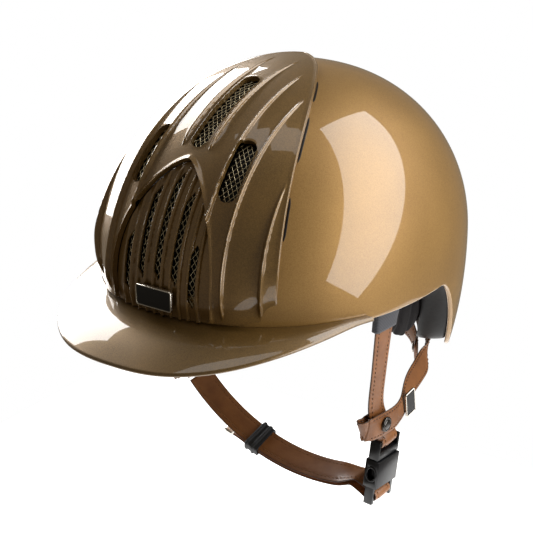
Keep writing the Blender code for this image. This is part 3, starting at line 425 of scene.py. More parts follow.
def cut(points, faces, frame_plane, outline, near=0.03):
    """Drop the faces inside an outline and slide the edge points onto it, along the dome."""
    origin, first, second, out = frame_plane
    spots = flat(points, frame_plane)
    close = np.abs((points - origin) @ out) < near
    gap, nearest = distance_to(outline, spots)
    inside = (gap < 0) & close
    drop = inside[faces].any(axis=1)
    edge = np.zeros(len(points), bool)
    edge[faces[drop].ravel()] = True
    edge &= ~inside
    move = np.where(edge[:, None], nearest - spots, 0.0)
    shift = move[:, :1] * first + move[:, 1:] * second
    n = normal_of(points)
    lean = n @ out
    lean = np.where(np.abs(lean) < LEAST_LEAN, LEAST_LEAN, lean)
    shift -= ((shift * n).sum(1) / lean)[:, None] * out
    return points + shift, faces[~drop], edge, np.where(edge, 0.0, np.where(close, gap, 1.0))


def walls(points, faces, edges, sink):
    """Walls that run inwards from every open edge whose two ends are both marked."""
    sides = np.concatenate([faces[:, [k, (k + 1) % 4]] for k in range(4)])
    key = np.sort(sides, axis=1)
    _, index, count = np.unique(key, axis=0, return_inverse=True, return_counts=True)
    open_sides = sides[count[index.ravel()] == 1]
    open_sides = open_sides[edges[open_sides].all(axis=1)]
    used, where = np.unique(open_sides, return_inverse=True)
    lower = points[used] - normal_of(points[used]) * sink
    where = where.reshape(-1, 2) + len(points)
    new = np.stack([open_sides[:, 1], open_sides[:, 0], where[:, 0], where[:, 1]], axis=1)
    return np.concatenate([points, lower]), np.concatenate([faces, new])


def build_used(name, points, faces, node, sharp):
    """Build a panel piece from the points that its faces still use."""
    used, faces = np.unique(faces, return_inverse=True)
    # panel pieces take the darker copy of the shell's lacquer, which is painted shade
    build(name, points[used], faces.reshape(-1, 4), [panel_lacquer_painted_shade], "helmet", [node],
          sharp=sharp)
    print(name, "has", len(used), "points")


def capsule(length, width, steps=10):
    """Outline of a long slot with round ends, along the second axis."""
    a = np.linspace(0, math.pi, steps + 1)
    r = width / 2
    top = np.stack([r * np.cos(a), length / 2 - r + r * np.sin(a)], axis=1)
    return np.concatenate([top, -top])


ARCH_HALF_WIDTH, ARCH_SPRING, ARCH_TOP, ARCH_FOOT = 0.0347, 0.030, 0.094, 0.0095
ARCH_POWERS, ARCH_STEPS = (2.0, 0.68), 26       # the powers shape its shoulders and its point


def arch_side():
    """The right side of the pointed arch, as width and height seen from the front."""
    share = np.sin(np.radians(90 * np.arange(ARCH_STEPS + 1) / ARCH_STEPS))
    reach = ARCH_HALF_WIDTH * (1 - share ** ARCH_POWERS[0]) ** ARCH_POWERS[1]
    return np.stack([reach, mix(ARCH_SPRING, ARCH_TOP, share)], axis=1)


def arch():
    """The whole outline of the arch, with its cut-off corners at the foot."""
    corner = np.array([(ARCH_HALF_WIDTH * 0.93, ARCH_FOOT), (ARCH_HALF_WIDTH, ARCH_FOOT + 0.0025)])
    left = np.concatenate([corner, arch_side()[:-1]])[::-1] * (-1, 1)
    return np.concatenate([corner, arch_side(), left])


def arch_reach(z):
    """Half width of the arch at this height."""
    side = arch_side()
    return np.where(z < ARCH_SPRING, ARCH_HALF_WIDTH, np.interp(z, side[:, 1], side[:, 0]))


FACE_ON = plane((0, 0, 0), (1, 0, 0), (0, 0, 1))
VENT_WIDTH = 0.0115
VENT_ENDS = {"top": ((0, -0.090, 0.104), (0, -0.030, 0.1325)),
             "left": ((0.0330, -0.1070, 0.0800), (0.0307, -0.0770, 0.1080)),
             "right": ((-0.0330, -0.1070, 0.0800), (-0.0307, -0.0770, 0.1080))}
VENTS = {}
for word, ends in VENT_ENDS.items():
    start, end = np.array(ends)
    middle = (start + end) / 2
    out = normal_of(drop_on(middle, (middle - DOME_CENTRE) / np.linalg.norm(middle - DOME_CENTRE)))
    across = np.cross(end - start, out)
    VENTS[word] = (plane(middle, across, end - start), np.linalg.norm(end - start))
print("outlines: arch with", len(arch()), "points, vents", list(VENTS))

# %% [markdown]
# ## The ribbed front panel
# The panel stands 5 mm proud of the shell, ends in a rounded lip at the back and fades into the sides
# near the rim. Its ribs are narrow rounded crests on short hollow flanks, like the folds of a shell. All
# of that is one height above the dome, worked out at each point of a fine grid.

# %% Build the front panel
PANEL_RAISE, PANEL_HALF_WIDTH, PANEL_TAPER = 0.005, 0.068, (2.2, 0.66)
PANEL_START, PANEL_CLOSES = -2.2, 97.0          # degrees up from the brow
PANEL_COLUMNS, PANEL_ROWS, ROW_CROWDING = 480, 280, 1.45
PANEL_SINK = 0.0005             # the edge starts this far inside the shell
SIDE_RAISE, SIDE_FROM = 0.0006, 0.62            # near the rim, the outer part of each side lies this low
FOOT_SINK = 0.0016              # the foot lies lower, behind the peak
LIP_HEIGHT, LIP_WIDTH, LIP_ROUND = 0.0009, 0.0034, 0.0014
MEAN_RADIUS = 0.118             # of the dome, turns degrees into metres
ARCH_BEAD, VENT_LIP = (0.0015, 0.0013), (0.0003, 0.0009)    # height and width of the rims round the holes
HOLE_WALL = 0.0034              # depth of the holes' walls
# each rib: width from the middle at its foot and tip, first and last angle, crest height, crest half width
RIBS = ((0.0096, 0.0088, 46.0, 88.0, 0.0026, 0.0011), (0.0262, 0.0225, 25.0, 81.0, 0.0028, 0.0011),
        (0.0412, 0.0370, -1.0, 72.0, 0.0029, 0.0012), (0.0602, 0.0570, -1.0, 44.0, 0.0031, 0.0012))
HOLLOW = 0.0042                 # how far a rib's hollow flank reaches
CREST_SHARE = 0.78              # of a rib's height, the flank is the rest
RIB_GROWS, RIB_FADES = 4.0, 26.0                # degrees over which a rib rises and dies away


def panel_edge(angle):
    """Half width of the raised panel at this angle."""
    share = np.clip(angle, 0.0, PANEL_CLOSES) / PANEL_CLOSES
    return PANEL_HALF_WIDTH * (1 - share ** PANEL_TAPER[0]) ** PANEL_TAPER[1]


def rib_height(x, angle):
    """Height that the ribs add."""
    total = np.zeros_like(x)
    for foot, tip, start, finish, crest, half in RIBS:
        share = (angle - start) / (finish - start)
        centre = mix(foot, tip, np.clip(share, 0, 1))
        grows = (np.clip((angle - start) / RIB_GROWS, 0, 1) ** 0.5
                 * np.clip((finish - angle) / RIB_FADES, 0, 1) ** 0.8)
        grows = np.where((share < 0) | (share > 1), 0.0, grows)
        narrow = mix(0.55, 1.0, grows)
        gap = np.abs(np.abs(x) - centre)
        ridge = np.clip(1 - (gap / (half * narrow)) ** 2, 0, 1) ** 0.9
        flank = np.clip(1 - gap / HOLLOW, 0, 1) ** 2.4
        total = np.maximum(total, grows * crest * (CREST_SHARE * ridge + (1 - CREST_SHARE) * flank))
    return total


def panel_height(x, angle, hole_lips):
    """Height of the panel above the dome, with the lips round its holes."""
    edge = panel_edge(angle)
    step = 0.5
    slope = (panel_edge(angle + step) - panel_edge(angle - step)) / (2 * math.radians(step) * MEAN_RADIUS)
    inward = np.clip(edge - np.abs(x), 0, None) / np.sqrt(1 + slope ** 2)
    side = ease((np.abs(x) / np.maximum(edge, 1e-6) - SIDE_FROM) / (1 - SIDE_FROM))
    raised = mix(PANEL_RAISE, mix(SIDE_RAISE, PANEL_RAISE, ease((angle - 1.0) / 15.0)), side)
    raised = raised - FOOT_SINK * ease((7.0 - angle) / 10.0)
    lip = LIP_HEIGHT * np.clip(1 - inward / LIP_WIDTH, 0, 1) ** 1.5 * ease((angle - 6.0) / 14.0)
    roll = np.sqrt(np.clip(1 - (1 - np.clip(inward / LIP_ROUND, 0, 1)) ** 2, 0, 1))
    return -PANEL_SINK + (raised + lip + PANEL_SINK + rib_height(x, angle)) * roll + hole_lips


rows = PANEL_CLOSES - (PANEL_CLOSES - PANEL_START) * (1 - np.linspace(0, 1, PANEL_ROWS)) ** ROW_CROWDING
angle = np.repeat(rows[:, None], PANEL_COLUMNS, axis=1)
x = panel_edge(angle) * np.linspace(-1, 1, PANEL_COLUMNS)
points = on_slice(x, angle).reshape(-1, 3)
faces = quads(PANEL_ROWS, PANEL_COLUMNS)
lips = np.zeros(len(points))
marked = np.zeros(len(points), bool)
cuts = [(FACE_ON, arch(), *ARCH_BEAD)]
cuts += [(spot, capsule(length, VENT_WIDTH), *VENT_LIP) for spot, length in VENTS.values()]
for where, outline, high, wide in cuts:
    near = 0.2 if where is FACE_ON else 0.03
    front = points[:, 1] < 0 if where is FACE_ON else np.ones(len(points), bool)
    kept = points.copy()
    points, faces, edge, gap = cut(points, faces, where, outline, near)
    points = np.where(front[:, None], points, kept)
    marked |= edge & front
    lips += high * np.exp(-(np.clip(gap, 0, None) / wide) ** 2) * front
height = panel_height(x.ravel(), angle.ravel(), lips)
points = points + normal_of(points) * height[:, None]
points, faces = walls(points, faces, marked, HOLE_WALL)
build_used("ribbed_front_panel", points, faces, "front_panel", sharp=50)

# %% [markdown]
# ## Grille, air slots and wire mesh
# Inside the arch sits a grille of upright slats in pairs, with a narrow slot between each pair. Behind
# the slots and the three vents lies woven steel wire with long diamond openings. Real wires are modelled,
# because at this size a flat texture shows no glints and no black gaps behind it.

# %% Build the grille
GRILLE_SLOTS = ((0.0, 0.030, 0.089), (0.012, 0.029, 0.081), (-0.012, 0.029, 0.081), (0.0235, 0.017, 0.055),
                (-0.0235, 0.017, 0.055))
SLOT_WIDTH, SLAT_HALF, SLAT_HIGH, GRILLE_RAISE = 0.0046, 0.0007, 0.0019, 0.0026
GRILLE_FOOT_SINK, GRILLE_WALL, GRILLE_GAP = 0.0013, 0.0012, 0.0003
GRILLE_COLUMNS, GRILLE_ROWS = 210, 190


def front_face(x, z):
    """Points on the front of the dome at this width and height."""
    start = np.stack([x, np.full_like(x, -0.05), z], axis=-1)
    return drop_on(start, np.array((0.0, -1.0, 0.0)), reach=0.1)


rows = mix(ARCH_FOOT, ARCH_TOP - GAP, np.linspace(0, 1, GRILLE_ROWS))
z = np.repeat(rows[:, None], GRILLE_COLUMNS, axis=1)
x = (arch_reach(z) - GRILLE_GAP) * np.linspace(-1, 1, GRILLE_COLUMNS)
points, faces = front_face(x, z).reshape(-1, 3), quads(GRILLE_ROWS, GRILLE_COLUMNS)
x, z = x.ravel(), z.ravel()
marked = np.zeros(len(points), bool)
for middle, low, high in GRILLE_SLOTS:
    half, point = SLOT_WIDTH / 2, SLOT_WIDTH * 1.3
    right = [(half, low + point), (half, high - point), (half * 0.5, high - point * 0.35), (0, high)]
    left = [(-half * 0.5, high - point * 0.35), (-half, high - point), (-half, low + point), (0, low)]
    outline = np.array(right + left) + (middle, 0)
    points, faces, edge, _ = cut(points, faces, FACE_ON, outline, near=0.2)
    marked |= edge
slats = np.zeros(len(points))
for middle, _, _ in GRILLE_SLOTS:
    for side in (-1, 1):
        gap = np.abs(x - middle - side * (SLOT_WIDTH / 2 + SLAT_HALF))
        slats = np.maximum(slats, np.clip(1 - (gap / (2.0 * SLAT_HALF)) ** 2, 0, 1) ** 0.8)
inward = np.minimum(arch_reach(z) - np.abs(x), (ARCH_TOP - z) * 0.45)
height = (GRILLE_RAISE - GRILLE_FOOT_SINK * ease((0.020 - z) / 0.010)
          + slats * SLAT_HIGH * ease(inward / 0.003))
points = points + normal_of(points) * height[:, None]
points, faces = walls(points, faces, marked, GRILLE_WALL)
build_used("arched_slat_grille", points, faces, "front_grille", sharp=55)

# %% Materials of the wire, the foam and what lies behind the vents
wire_steel, tree, shader = start_material("brass_washed_steel_wire", Metallic=1.0, Roughness=0.26)
place = add(tree, "ShaderNodeTexCoord")
tone = add(tree, "ShaderNodeTexNoise", {"Scale": 260.0, "Detail": 2.0}, {"Vector": place.outputs["Object"]})
ramp = add(tree, "ShaderNodeValToRGB", None, {"Fac": tone.outputs["Fac"]})
tint(ramp, "#8f8266", "#e2d6b4")
tree.links.new(ramp.outputs["Color"], shader.inputs["Base Color"])

# The foam is black expanded polystyrene with a moulded skin: hard beads 3 mm wide show as faint facets.
BEAD_MM = 3.0
foam_skin, tree, shader = start_material("moulded_black_polystyrene_foam", Roughness=0.42,
                                         Specular_IOR_Level=0.2)
place = add(tree, "ShaderNodeTexCoord")
beads = add(tree, "ShaderNodeTexVoronoi", {"Scale": 1 / (BEAD_MM * MM)}, {"Vector": place.outputs["Object"]})
tone = add(tree, "ShaderNodeValToRGB", None, {"Fac": beads.outputs["Distance"]})
tint(tone, "#080606", "#12100e")
swell = add(tree, "ShaderNodeBump", {"Strength": 0.25, "Distance": 0.12 * MM},
            {"Height": beads.outputs["Distance"]})
tree.links.new(tone.outputs["Color"], shader.inputs["Base Color"])
tree.links.new(swell.outputs[0], shader.inputs["Normal"])
print("materials:", wire_steel.name, foam_skin.name)

# %% Weave the wire
def tubes(lines, ups, radius, sides=5, swell=None):
    """Round wires along many lines; ups give a direction square to each line. swell scales the ends."""
    points, faces, first = [], [], 0
    angles = math.tau * np.arange(sides) / sides
    for line, up in zip(lines, ups):
        along = np.gradient(line, axis=0)
        along /= np.linalg.norm(along, axis=1, keepdims=True) + 1e-12
        across = np.cross(along, up)
        across /= np.linalg.norm(across, axis=1, keepdims=True) + 1e-12
        over = np.cross(across, along)
        size = radius if swell is None else radius * swell[:, None, None]
        ring = line[:, None] + size * (across[:, None] * np.cos(angles)[None, :, None]
                                       + over[:, None] * np.sin(angles)[None, :, None])
        points.append(ring.reshape(-1, 3))
        faces += (quads(len(line), sides, closed=True) + first).tolist()
        faces += [list(range(first, first + sides)),
                  list(range(first + (len(line) - 1) * sides, first + len(line) * sides))]
        first += len(line) * sides
    return np.concatenate(points), faces


DIAMOND, WIRE_RADIUS = (0.0033, 0.0050), 0.00030            # width and height of one opening
WIRE_RAISE, WEAVE = 0.0015, 0.00016             # height above the dome, and how far wires pass over and under


def woven(box, keep):
    """Wire lines across a flat box, as (width, height, weave) runs of points that keep() accepts."""
    (left, right), (low, high) = box
    wide, tall = DIAMOND
    steps = np.arange(math.floor(low / tall * 4), math.ceil(high / tall * 4) + 1) * tall / 4
    runs = []
    for lean in (1, -1):
        spread = int((right - left) / wide + (high - low) / tall) + 4
        for k in range(-spread, spread):
            across = (k - lean * steps / tall) * wide
            weave = lean * WEAVE * np.cos(math.tau * steps / tall)
            spots = np.stack([across, steps, weave], axis=1)
            good = keep(spots[:, 0], spots[:, 1])
            breaks = np.where(np.diff(good.astype(int)))[0] + 1
            runs += [spots[part] for part in np.split(np.arange(len(spots)), breaks)
                     if good[part[0]] and len(part) > 2]
    return runs


def wire_mesh(name, frame_plane, box, keep, node):
    """A piece of woven wire laid on the dome."""
    origin, first, second, out = frame_plane
    lines, ups = [], []
    for run in woven(box, keep):
        spots = origin + run[:, :1] * first + run[:, 1:2] * second
        if frame_plane is FACE_ON:
            base = front_face(run[:, 0], run[:, 1])
        else:
            base = drop_on(spots, out)
        n = normal_of(base)
        lines.append(base + n * (WIRE_RAISE + run[:, 2:]))
        ups.append(n)
    points, faces = tubes(lines, ups, WIRE_RADIUS)
    build(name, points, faces, [wire_steel], "helmet", [node])
    print(name, "has", len(lines), "wires")


def in_slots(x, z):
    """True near the grille's slots."""
    near = np.zeros(len(x), bool)
    for middle, low, high in GRILLE_SLOTS:
        near |= (np.abs(x - middle) < SLOT_WIDTH / 2 + 0.0011) & (z > low - MM) & (z < high + MM)
    return near


wire_mesh("grille_wire", FACE_ON, ((-0.035, 0.035), (0.012, 0.094)), in_slots, "grille_mesh")
for word, (where, length) in VENTS.items():
    outline = capsule(length, VENT_WIDTH + 0.0014)
    box = ((-0.007, 0.007), (-length / 2 - 0.001, length / 2 + 0.001))
    wire_mesh(word + "_vent_wire", where, box,
              lambda x, z, shape=outline: distance_to(shape, np.stack([x, z], axis=1))[0] < 0,
              word + "_vent_mesh")

# %% Dark foam behind the vents, and black strips of painted shade for the air outlets behind the panel's rear edge
BACKING_ROWS, BACKING_COLUMNS, BACKING_INSET, BACKING_RAISE = 60, 50, 0.006, 0.0003
rows = mix(PANEL_START + 6, 88.0, np.linspace(0, 1, BACKING_ROWS))
angle = np.repeat(rows[:, None], BACKING_COLUMNS, axis=1)
x = (panel_edge(angle) - BACKING_INSET) * np.linspace(-1, 1, BACKING_COLUMNS)
base = on_slice(x, angle).reshape(-1, 3)
build("foam_behind_vents", base + normal_of(base) * BACKING_RAISE, quads(BACKING_ROWS, BACKING_COLUMNS),
      [foam_skin], "helmet")

# Each outlet is a thin black strip laid on the shell, not an opening. It is painted shade for the dark gap of
# the slot.
OUTLETS = ((84.5, 75.0), (69.0, 52.0), (40.5, 25.5))        # first and last angle of each outlet
OUTLET_STEPS, OUTLET_ACROSS, OUTLET_WIDE = 40, 7, 0.0010
points, faces = [], []
for start, finish in OUTLETS:
    for side in (-1, 1):
        share = np.linspace(0, 1, OUTLET_STEPS)[:, None]
        wide = OUTLET_WIDE * np.clip(1 - np.abs(2 * share - 1) ** 6, 0.02, 1)
        across = np.linspace(-1, 1, OUTLET_ACROSS)[None]
        angle = mix(start, finish, share) + 0 * across
        x = side * (panel_edge(angle) + 0.0004 + wide * across)
        base = on_slice(x, angle)
        bow = 0.00025 * (1 - np.abs(across) ** 4) + 0 * angle
        faces += (quads(OUTLET_STEPS, OUTLET_ACROSS) + sum(map(len, points))).tolist()
        points.append((base + normal_of(base) * (bow - 0.0001)[..., None]).reshape(-1, 3))
build("black_painted_shade_strips_for_rear_air_outlets", np.concatenate(points), faces, [foam_skin], "helmet")
print("outlets:", len(OUTLETS) * 2)

# %% [markdown]
# ## The peak and the badge
# The peak is a thin curved plate that wraps the front of the shell. Its outer edge is rounded, which
# draws a fine bright line. The badge is a blank black plate with a bright metal frame.

# %% Build the peak
VISOR_HALF_WIDTH, VISOR_REACH, VISOR_ROOT = 0.0999, 0.1260, -0.0513
VISOR_END_HEIGHT, VISOR_DIP, VISOR_SEAT = 0.0036, 0.0094, 0.0088
VISOR_POWERS = (0.777, 1.184)                   # how round the outline is across and forwards
VISOR_THICK, VISOR_BULGE = 0.0028, 0.0030
VISOR_END_WIDTH, VISOR_END_EASE = 0.0026, 0.0030            # how the ends run out along the shell
PEAK_COLUMNS, PEAK_ROWS, PEAK_ROUND = 180, 26, 8
t = np.radians(np.linspace(-90, 90, PEAK_COLUMNS))
s, c = np.sin(t), np.maximum(np.cos(t), 0.0)
outer = np.stack([VISOR_HALF_WIDTH * signed_power(s, VISOR_POWERS[0]),
                  VISOR_ROOT - VISOR_REACH * c ** VISOR_POWERS[1],
                  VISOR_END_HEIGHT - VISOR_DIP * c * c], axis=1)
away = outer - DOME_CENTRE
turn = np.degrees(np.arctan2(away[:, 1] / FRONT_LENGTH, away[:, 0] / HALF_WIDTH))
inner = dome(turn, rise_at(mix(VISOR_END_HEIGHT + 0.001, VISOR_SEAT, c)), GAP)
outward = (inner - DOME_CENTRE) * (1, 1, 0)
outward /= np.linalg.norm(outward, axis=1, keepdims=True)
stands_out = ((outer - inner) * outward * (1, 1, 0)).sum(1)
spare = stands_out - VISOR_END_WIDTH
outer = outer + outward * ((np.sqrt(spare ** 2 + VISOR_END_EASE ** 2) - spare) / 2)[:, None]
reach = outer - inner
length = np.linalg.norm(reach, axis=1, keepdims=True)
radius = VISOR_THICK / 2
stop = 1 - radius / length
rows = []
for k in range(PEAK_ROWS + 1):
    share = stop * k / PEAK_ROWS
    bulge = VISOR_BULGE * c * np.sin(math.pi * share[:, 0])
    rows.append(inner + reach * share + np.stack([0 * t, 0 * t, bulge], axis=1))
top_edge = rows[-1]
out = reach / length
for k in range(1, PEAK_ROUND):
    a = math.pi * k / PEAK_ROUND
    rows.append(top_edge + out * radius * math.sin(a) + np.array((0, 0, -radius * (1 - math.cos(a)))))
rows += [row + np.array((0, 0, -VISOR_THICK)) for row in reversed(rows[:PEAK_ROWS + 1])]
# the peak takes the darker copy of the shell's lacquer, which is painted shade
build("rounded_peak", np.concatenate(rows), quads(len(rows), PEAK_COLUMNS), [peak_lacquer_painted_shade], "helmet",
      ["visor"])
print("peak points:", len(rows) * PEAK_COLUMNS)

# %% Plates with a metal frame: badge and strap labels
satin_black, tree, shader = start_material("satin_black_enamelled_plate", Roughness=0.42,
                                           Specular_IOR_Level=0.35)
place = add(tree, "ShaderNodeTexCoord")
grain = add(tree, "ShaderNodeTexNoise", {"Scale": 900.0, "Detail": 4.0}, {"Vector": place.outputs["Object"]})
tone = add(tree, "ShaderNodeValToRGB", None, {"Fac": grain.outputs["Fac"]})
tint(tone, "#0c0c0d", "#161617")
tree.links.new(tone.outputs["Color"], shader.inputs["Base Color"])
bright_frame, tree, shader = start_material("polished_nickel_frame", Metallic=1.0, Roughness=0.16)
shader.inputs["Base Color"].default_value = colour("#cfc9bf")


def rounded(width, height, corner, steps=5):
    """Outline of a rectangle with round corners."""
    spots = []
    for k, (sx, sy) in enumerate(((1, 1), (-1, 1), (-1, -1), (1, -1))):
        for i in range(steps + 1):
            a = math.pi / 2 * (k + i / steps)
            spots.append((sx * (width / 2 - corner) + corner * math.cos(a),
                          sy * (height / 2 - corner) + corner * math.sin(a)))
    return np.array(spots)


PLATE_BEVEL = 0.00025           # of the frame's outer edge


def framed_plate(name, centre, axes, size, corner, frame_width, node):
    """A plate whose front has a raised bright frame round a sunken dark face."""
    first, second, out = (np.asarray(a, float) for a in axes)
    wide, tall, thick = size
    # each ring: how far it lies inside the outline, and its height as a share of the thickness
    levels = ((0.0, -0.5), (0.0, 0.32), (PLATE_BEVEL, 0.5), (frame_width - 0.0002, 0.5), (frame_width, 0.30))
    rings = []
    for shrink, depth in levels:
        outline = rounded(wide - 2 * shrink, tall - 2 * shrink, max(corner - shrink, 0.0003))
        rings.append(centre + outline[:, :1] * first + outline[:, 1:] * second + out * depth * thick)
    faces = capped(len(rings), len(rings[0]))
    which = [0] * (len(faces) - 2) + [1, 1]
    build(name, np.concatenate(rings), faces, [bright_frame, satin_black], "helmet", [node], which,
          sharp=40)


low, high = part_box("badge_plate")
BADGE_CORNER, BADGE_FRAME = 0.0018, 0.0008
framed_plate("blank_badge", np.array((low + high) / 2), ((1, 0, 0), (0, 0, 1), (0, -1, 0)),
             (high.x - low.x, high.z - low.z, high.y - low.y), BADGE_CORNER, BADGE_FRAME, "badge_plate")
print("badge in place")

# %% [markdown]
# ## Foam and padding
# A hard black foam liner fills the shell. Soft pads lie against it: a band round the head, a crown pad,
# two neck pads and a nape pad. Padded fabric is best made by a cloth simulation, in which the plain pad
# is blown up a little, like a pillow, and then kept clear of the foam.

# %% Build the foam
FOAM_WALL, FOAM_RECESS, FOAM_BULGE = 0.0185, 0.0015, 0.0018
FOAM_INSIDE_RISE = 130.0        # degrees that its inside climbs, which carries it up to the crown
foam_out = -SHELL_WALL - GAP
points, faces = layer(foam_out, foam_out - FOAM_WALL,
                      lambda turn: rim_height(turn) + FOAM_RECESS + FOAM_BULGE, FOAM_INSIDE_RISE,
                      rings=50, turns=180, edge=2 * FOAM_BULGE / FOAM_WALL)
build("foam_liner", points, faces, [foam_skin], "helmet", ["eps_liner"])
print("foam wall in mm:", FOAM_WALL / MM)

# %% [markdown]
# The lining is a black warp-knit mesh over soft foam. Cloth scatters light at grazing angles, so it has
# sheen and no gloss. Its small holes repeat every 1.6 mm, worked out from 16 stitches to the inch.

# %% Lining fabric
knit, tree, shader = start_material("black_warp_knit_mesh_fabric", Roughness=0.93, Sheen_Weight=0.2,
                                    Sheen_Roughness=0.5, Specular_IOR_Level=0.25)
shader.inputs["Sheen Tint"].default_value = colour("#3a3634")
KNIT_MM = 1.6
place = add(tree, "ShaderNodeTexCoord")
holes = add(tree, "ShaderNodeTexVoronoi", {"Scale": 1 / (KNIT_MM * MM), "Randomness": 0.35},
            {"Vector": place.outputs["Object"]})
tone = add(tree, "ShaderNodeValToRGB", None, {"Fac": holes.outputs["Distance"]})
tint(tone, "#070606", "#151213", 0.12, 0.45)
relief = add(tree, "ShaderNodeBump", {"Strength": 0.6, "Distance": 0.35 * MM},
             {"Height": holes.outputs["Distance"]})
tree.links.new(tone.outputs["Color"], shader.inputs["Base Color"])
tree.links.new(relief.outputs[0], shader.inputs["Normal"])
print("material:", knit.name)

# %% Blow up the pads with a cloth simulation
PADS = {"comfort_headband": "headband_cushion", "crown_pad": "crown_cushion", "nape_pad": "nape_cushion",
        "left_neck_pad": "left_neck_cushion", "right_neck_pad": "right_neck_cushion"}
PAD_VOXEL, PAD_SHRINK = 0.0033, 0.0007          # the remeshed faces' size, and how thin a pad starts
PAD_PRESSURE, PAD_FRAMES, PAD_CAP = 4.0, 20, 0.0022         # a pad may swell as far as the cap
FOAM_FACE = foam_out - FOAM_WALL - GAP


def settle(made):
    """Apply an object's modifiers and return its new mesh."""
    graph = bpy.context.evaluated_depsgraph_get()
    mesh = bpy.data.meshes.new_from_object(made.evaluated_get(graph), depsgraph=graph)
    made.modifiers.clear()
    made.data = mesh
    return mesh


def read_points(mesh, what="co"):
    """The places of a mesh's points, or with "normal" their directions."""
    spots = np.zeros(len(mesh.vertices) * 3, np.float64)
    mesh.vertices.foreach_get(what, spots)
    return spots.reshape(-1, 3)


def place_points(mesh, spots):
    """Move a mesh's points."""
    mesh.vertices.foreach_set("co", spots.astype(np.float32).ravel())
    mesh.update()


cushions, start_shapes = {}, {}
for node, name in PADS.items():
    made = stand(name, frame["nodes"][node].data.copy())
    remesh = made.modifiers.new("remesh", "REMESH")
    remesh.mode, remesh.voxel_size = "VOXEL", PAD_VOXEL
    mesh = settle(made)
    start_shapes[name] = read_points(mesh) - read_points(mesh, "normal") * PAD_SHRINK
    place_points(mesh, start_shapes[name])
    cushions[name] = made
    cloth = made.modifiers.new("cloth", "CLOTH")
    cloth.settings.quality = 5
    cloth.settings.use_pressure = True
    cloth.settings.uniform_pressure_force = PAD_PRESSURE
    cloth.settings.effector_weights.gravity = 0.0
    cloth.point_cache.frame_end = PAD_FRAMES
for number in range(1, PAD_FRAMES + 1):
    bpy.context.scene.frame_set(number)
for name, made in cushions.items():
    mesh = settle(made)
    move = read_points(mesh) - start_shapes[name]
    far = np.linalg.norm(move, axis=1, keepdims=True)
    spots = start_shapes[name] + move * np.minimum(1, PAD_CAP / np.maximum(far, 1e-9))
    above = (level_of(spots, FOAM_FACE) - 1) * 0.05
    spots -= normal_of(spots, FOAM_FACE) * np.clip(above, 0, 0.003)[:, None]
    place_points(mesh, spots)
    finer = made.modifiers.new("finer", "SUBSURF")
    finer.levels = finer.render_levels = 1
    settle(made)
bpy.context.scene.frame_set(1)
print("cushions:", {name: len(made.data.vertices) for name, made in cushions.items()})

# %% [markdown]
# Remeshing wipes out anything narrower than a voxel, so the sewn channels come afterwards: points near
# a seam are pulled into the pad, which leaves soft grooves between puffed panels.

# %% Sew the channels
SEAM_HALF, SEAM_DEPTH = 0.0022, 0.0013
# seams that run up the pad, by their turn round the head, and seams that run round it, by their height
SEAMS = {"headband_cushion": (range(15, 375, 30), (0.016,)), "crown_cushion": (range(0, 360, 45), (0.094,)),
         "nape_cushion": ((58, 74, 90, 106, 122), (-0.028,)), "left_neck_cushion": ((-1, 11, 23), ()),
         "right_neck_cushion": ((181, 169, 157), ())}
for node, name in PADS.items():
    made = cushions[name]
    mesh = made.data
    spots = read_points(mesh)
    groove = np.zeros(len(spots))
    around, levels = SEAMS[name]
    for turn in around:
        side = np.array((math.cos(math.radians(turn)), math.sin(math.radians(turn)), 0.0))
        flat_spots = (spots - DOME_CENTRE) * (1, 1, 0)
        away = np.linalg.norm(np.cross(flat_spots, side), axis=1)
        ahead = flat_spots @ side > 0
        groove = np.maximum(groove, np.exp(-(away / SEAM_HALF) ** 2) * ahead)
    for level in levels:
        groove = np.maximum(groove, np.exp(-((spots[:, 2] - level) / SEAM_HALF) ** 2))
    place_points(mesh, spots - read_points(mesh, "normal") * (groove * SEAM_DEPTH)[:, None])
    mesh.materials.clear()
    mesh.materials.append(knit)
    mesh.shade_smooth()
    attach(made, "helmet")
    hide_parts(node)
print("seams sewn")

# %% [markdown]
# ## Leather, thread and webbing
# The straps are vegetable-tanned cowhide: a fine pebbled grain, slightly waxy, with darker painted edges.
# The straps carry their own measure of place: u runs along the strap in metres, v across it.

# %% Harness materials
LEATHER_GRAIN_MM = 0.9
EDGE_PAINT = (0.0083, 0.0088)   # the paint fades in between these distances from a strap's middle


def tanned(name, dark, light, edge):
    """Vegetable-tanned cowhide with a painted edge."""
    made, tree, shader = start_material(name, Roughness=0.46, Coat_Weight=0.12, Coat_Roughness=0.3)
    place = add(tree, "ShaderNodeTexCoord")
    pores = add(tree, "ShaderNodeTexVoronoi", {"Scale": 1 / (LEATHER_GRAIN_MM * MM)},
                {"Vector": place.outputs["Object"]})
    drift = add(tree, "ShaderNodeTexNoise", {"Scale": 70.0, "Detail": 5.0, "Roughness": 0.6},
                {"Vector": place.outputs["Object"]})
    tone = add(tree, "ShaderNodeValToRGB", None, {"Fac": drift.outputs["Fac"]})
    tint(tone, dark, light, 0.3, 0.7)
    parts = add(tree, "ShaderNodeSeparateXYZ", None, {"Vector": place.outputs["UV"]})
    away = add(tree, "ShaderNodeMath", {"operation": "ABSOLUTE"}, {0: parts.outputs["Y"]})
    rim = add(tree, "ShaderNodeMapRange", {"From Min": EDGE_PAINT[0], "From Max": EDGE_PAINT[1]},
              {"Value": away.outputs[0]})
    painted = add(tree, "ShaderNodeMix", {"data_type": "RGBA"}, {0: rim.outputs[0], 6: tone.outputs["Color"]})
    painted.inputs[7].default_value = colour(edge)
    relief = add(tree, "ShaderNodeBump", {"Strength": 0.35, "Distance": 0.12 * MM},
                 {"Height": pores.outputs["Distance"]})
    creases = add(tree, "ShaderNodeBump", {"Strength": 0.25, "Distance": 0.3 * MM},
                  {"Height": drift.outputs["Fac"], "Normal": relief.outputs[0]})
    tree.links.new(painted.outputs[2], shader.inputs["Base Color"])
    tree.links.new(creases.outputs[0], shader.inputs["Normal"])
    return made


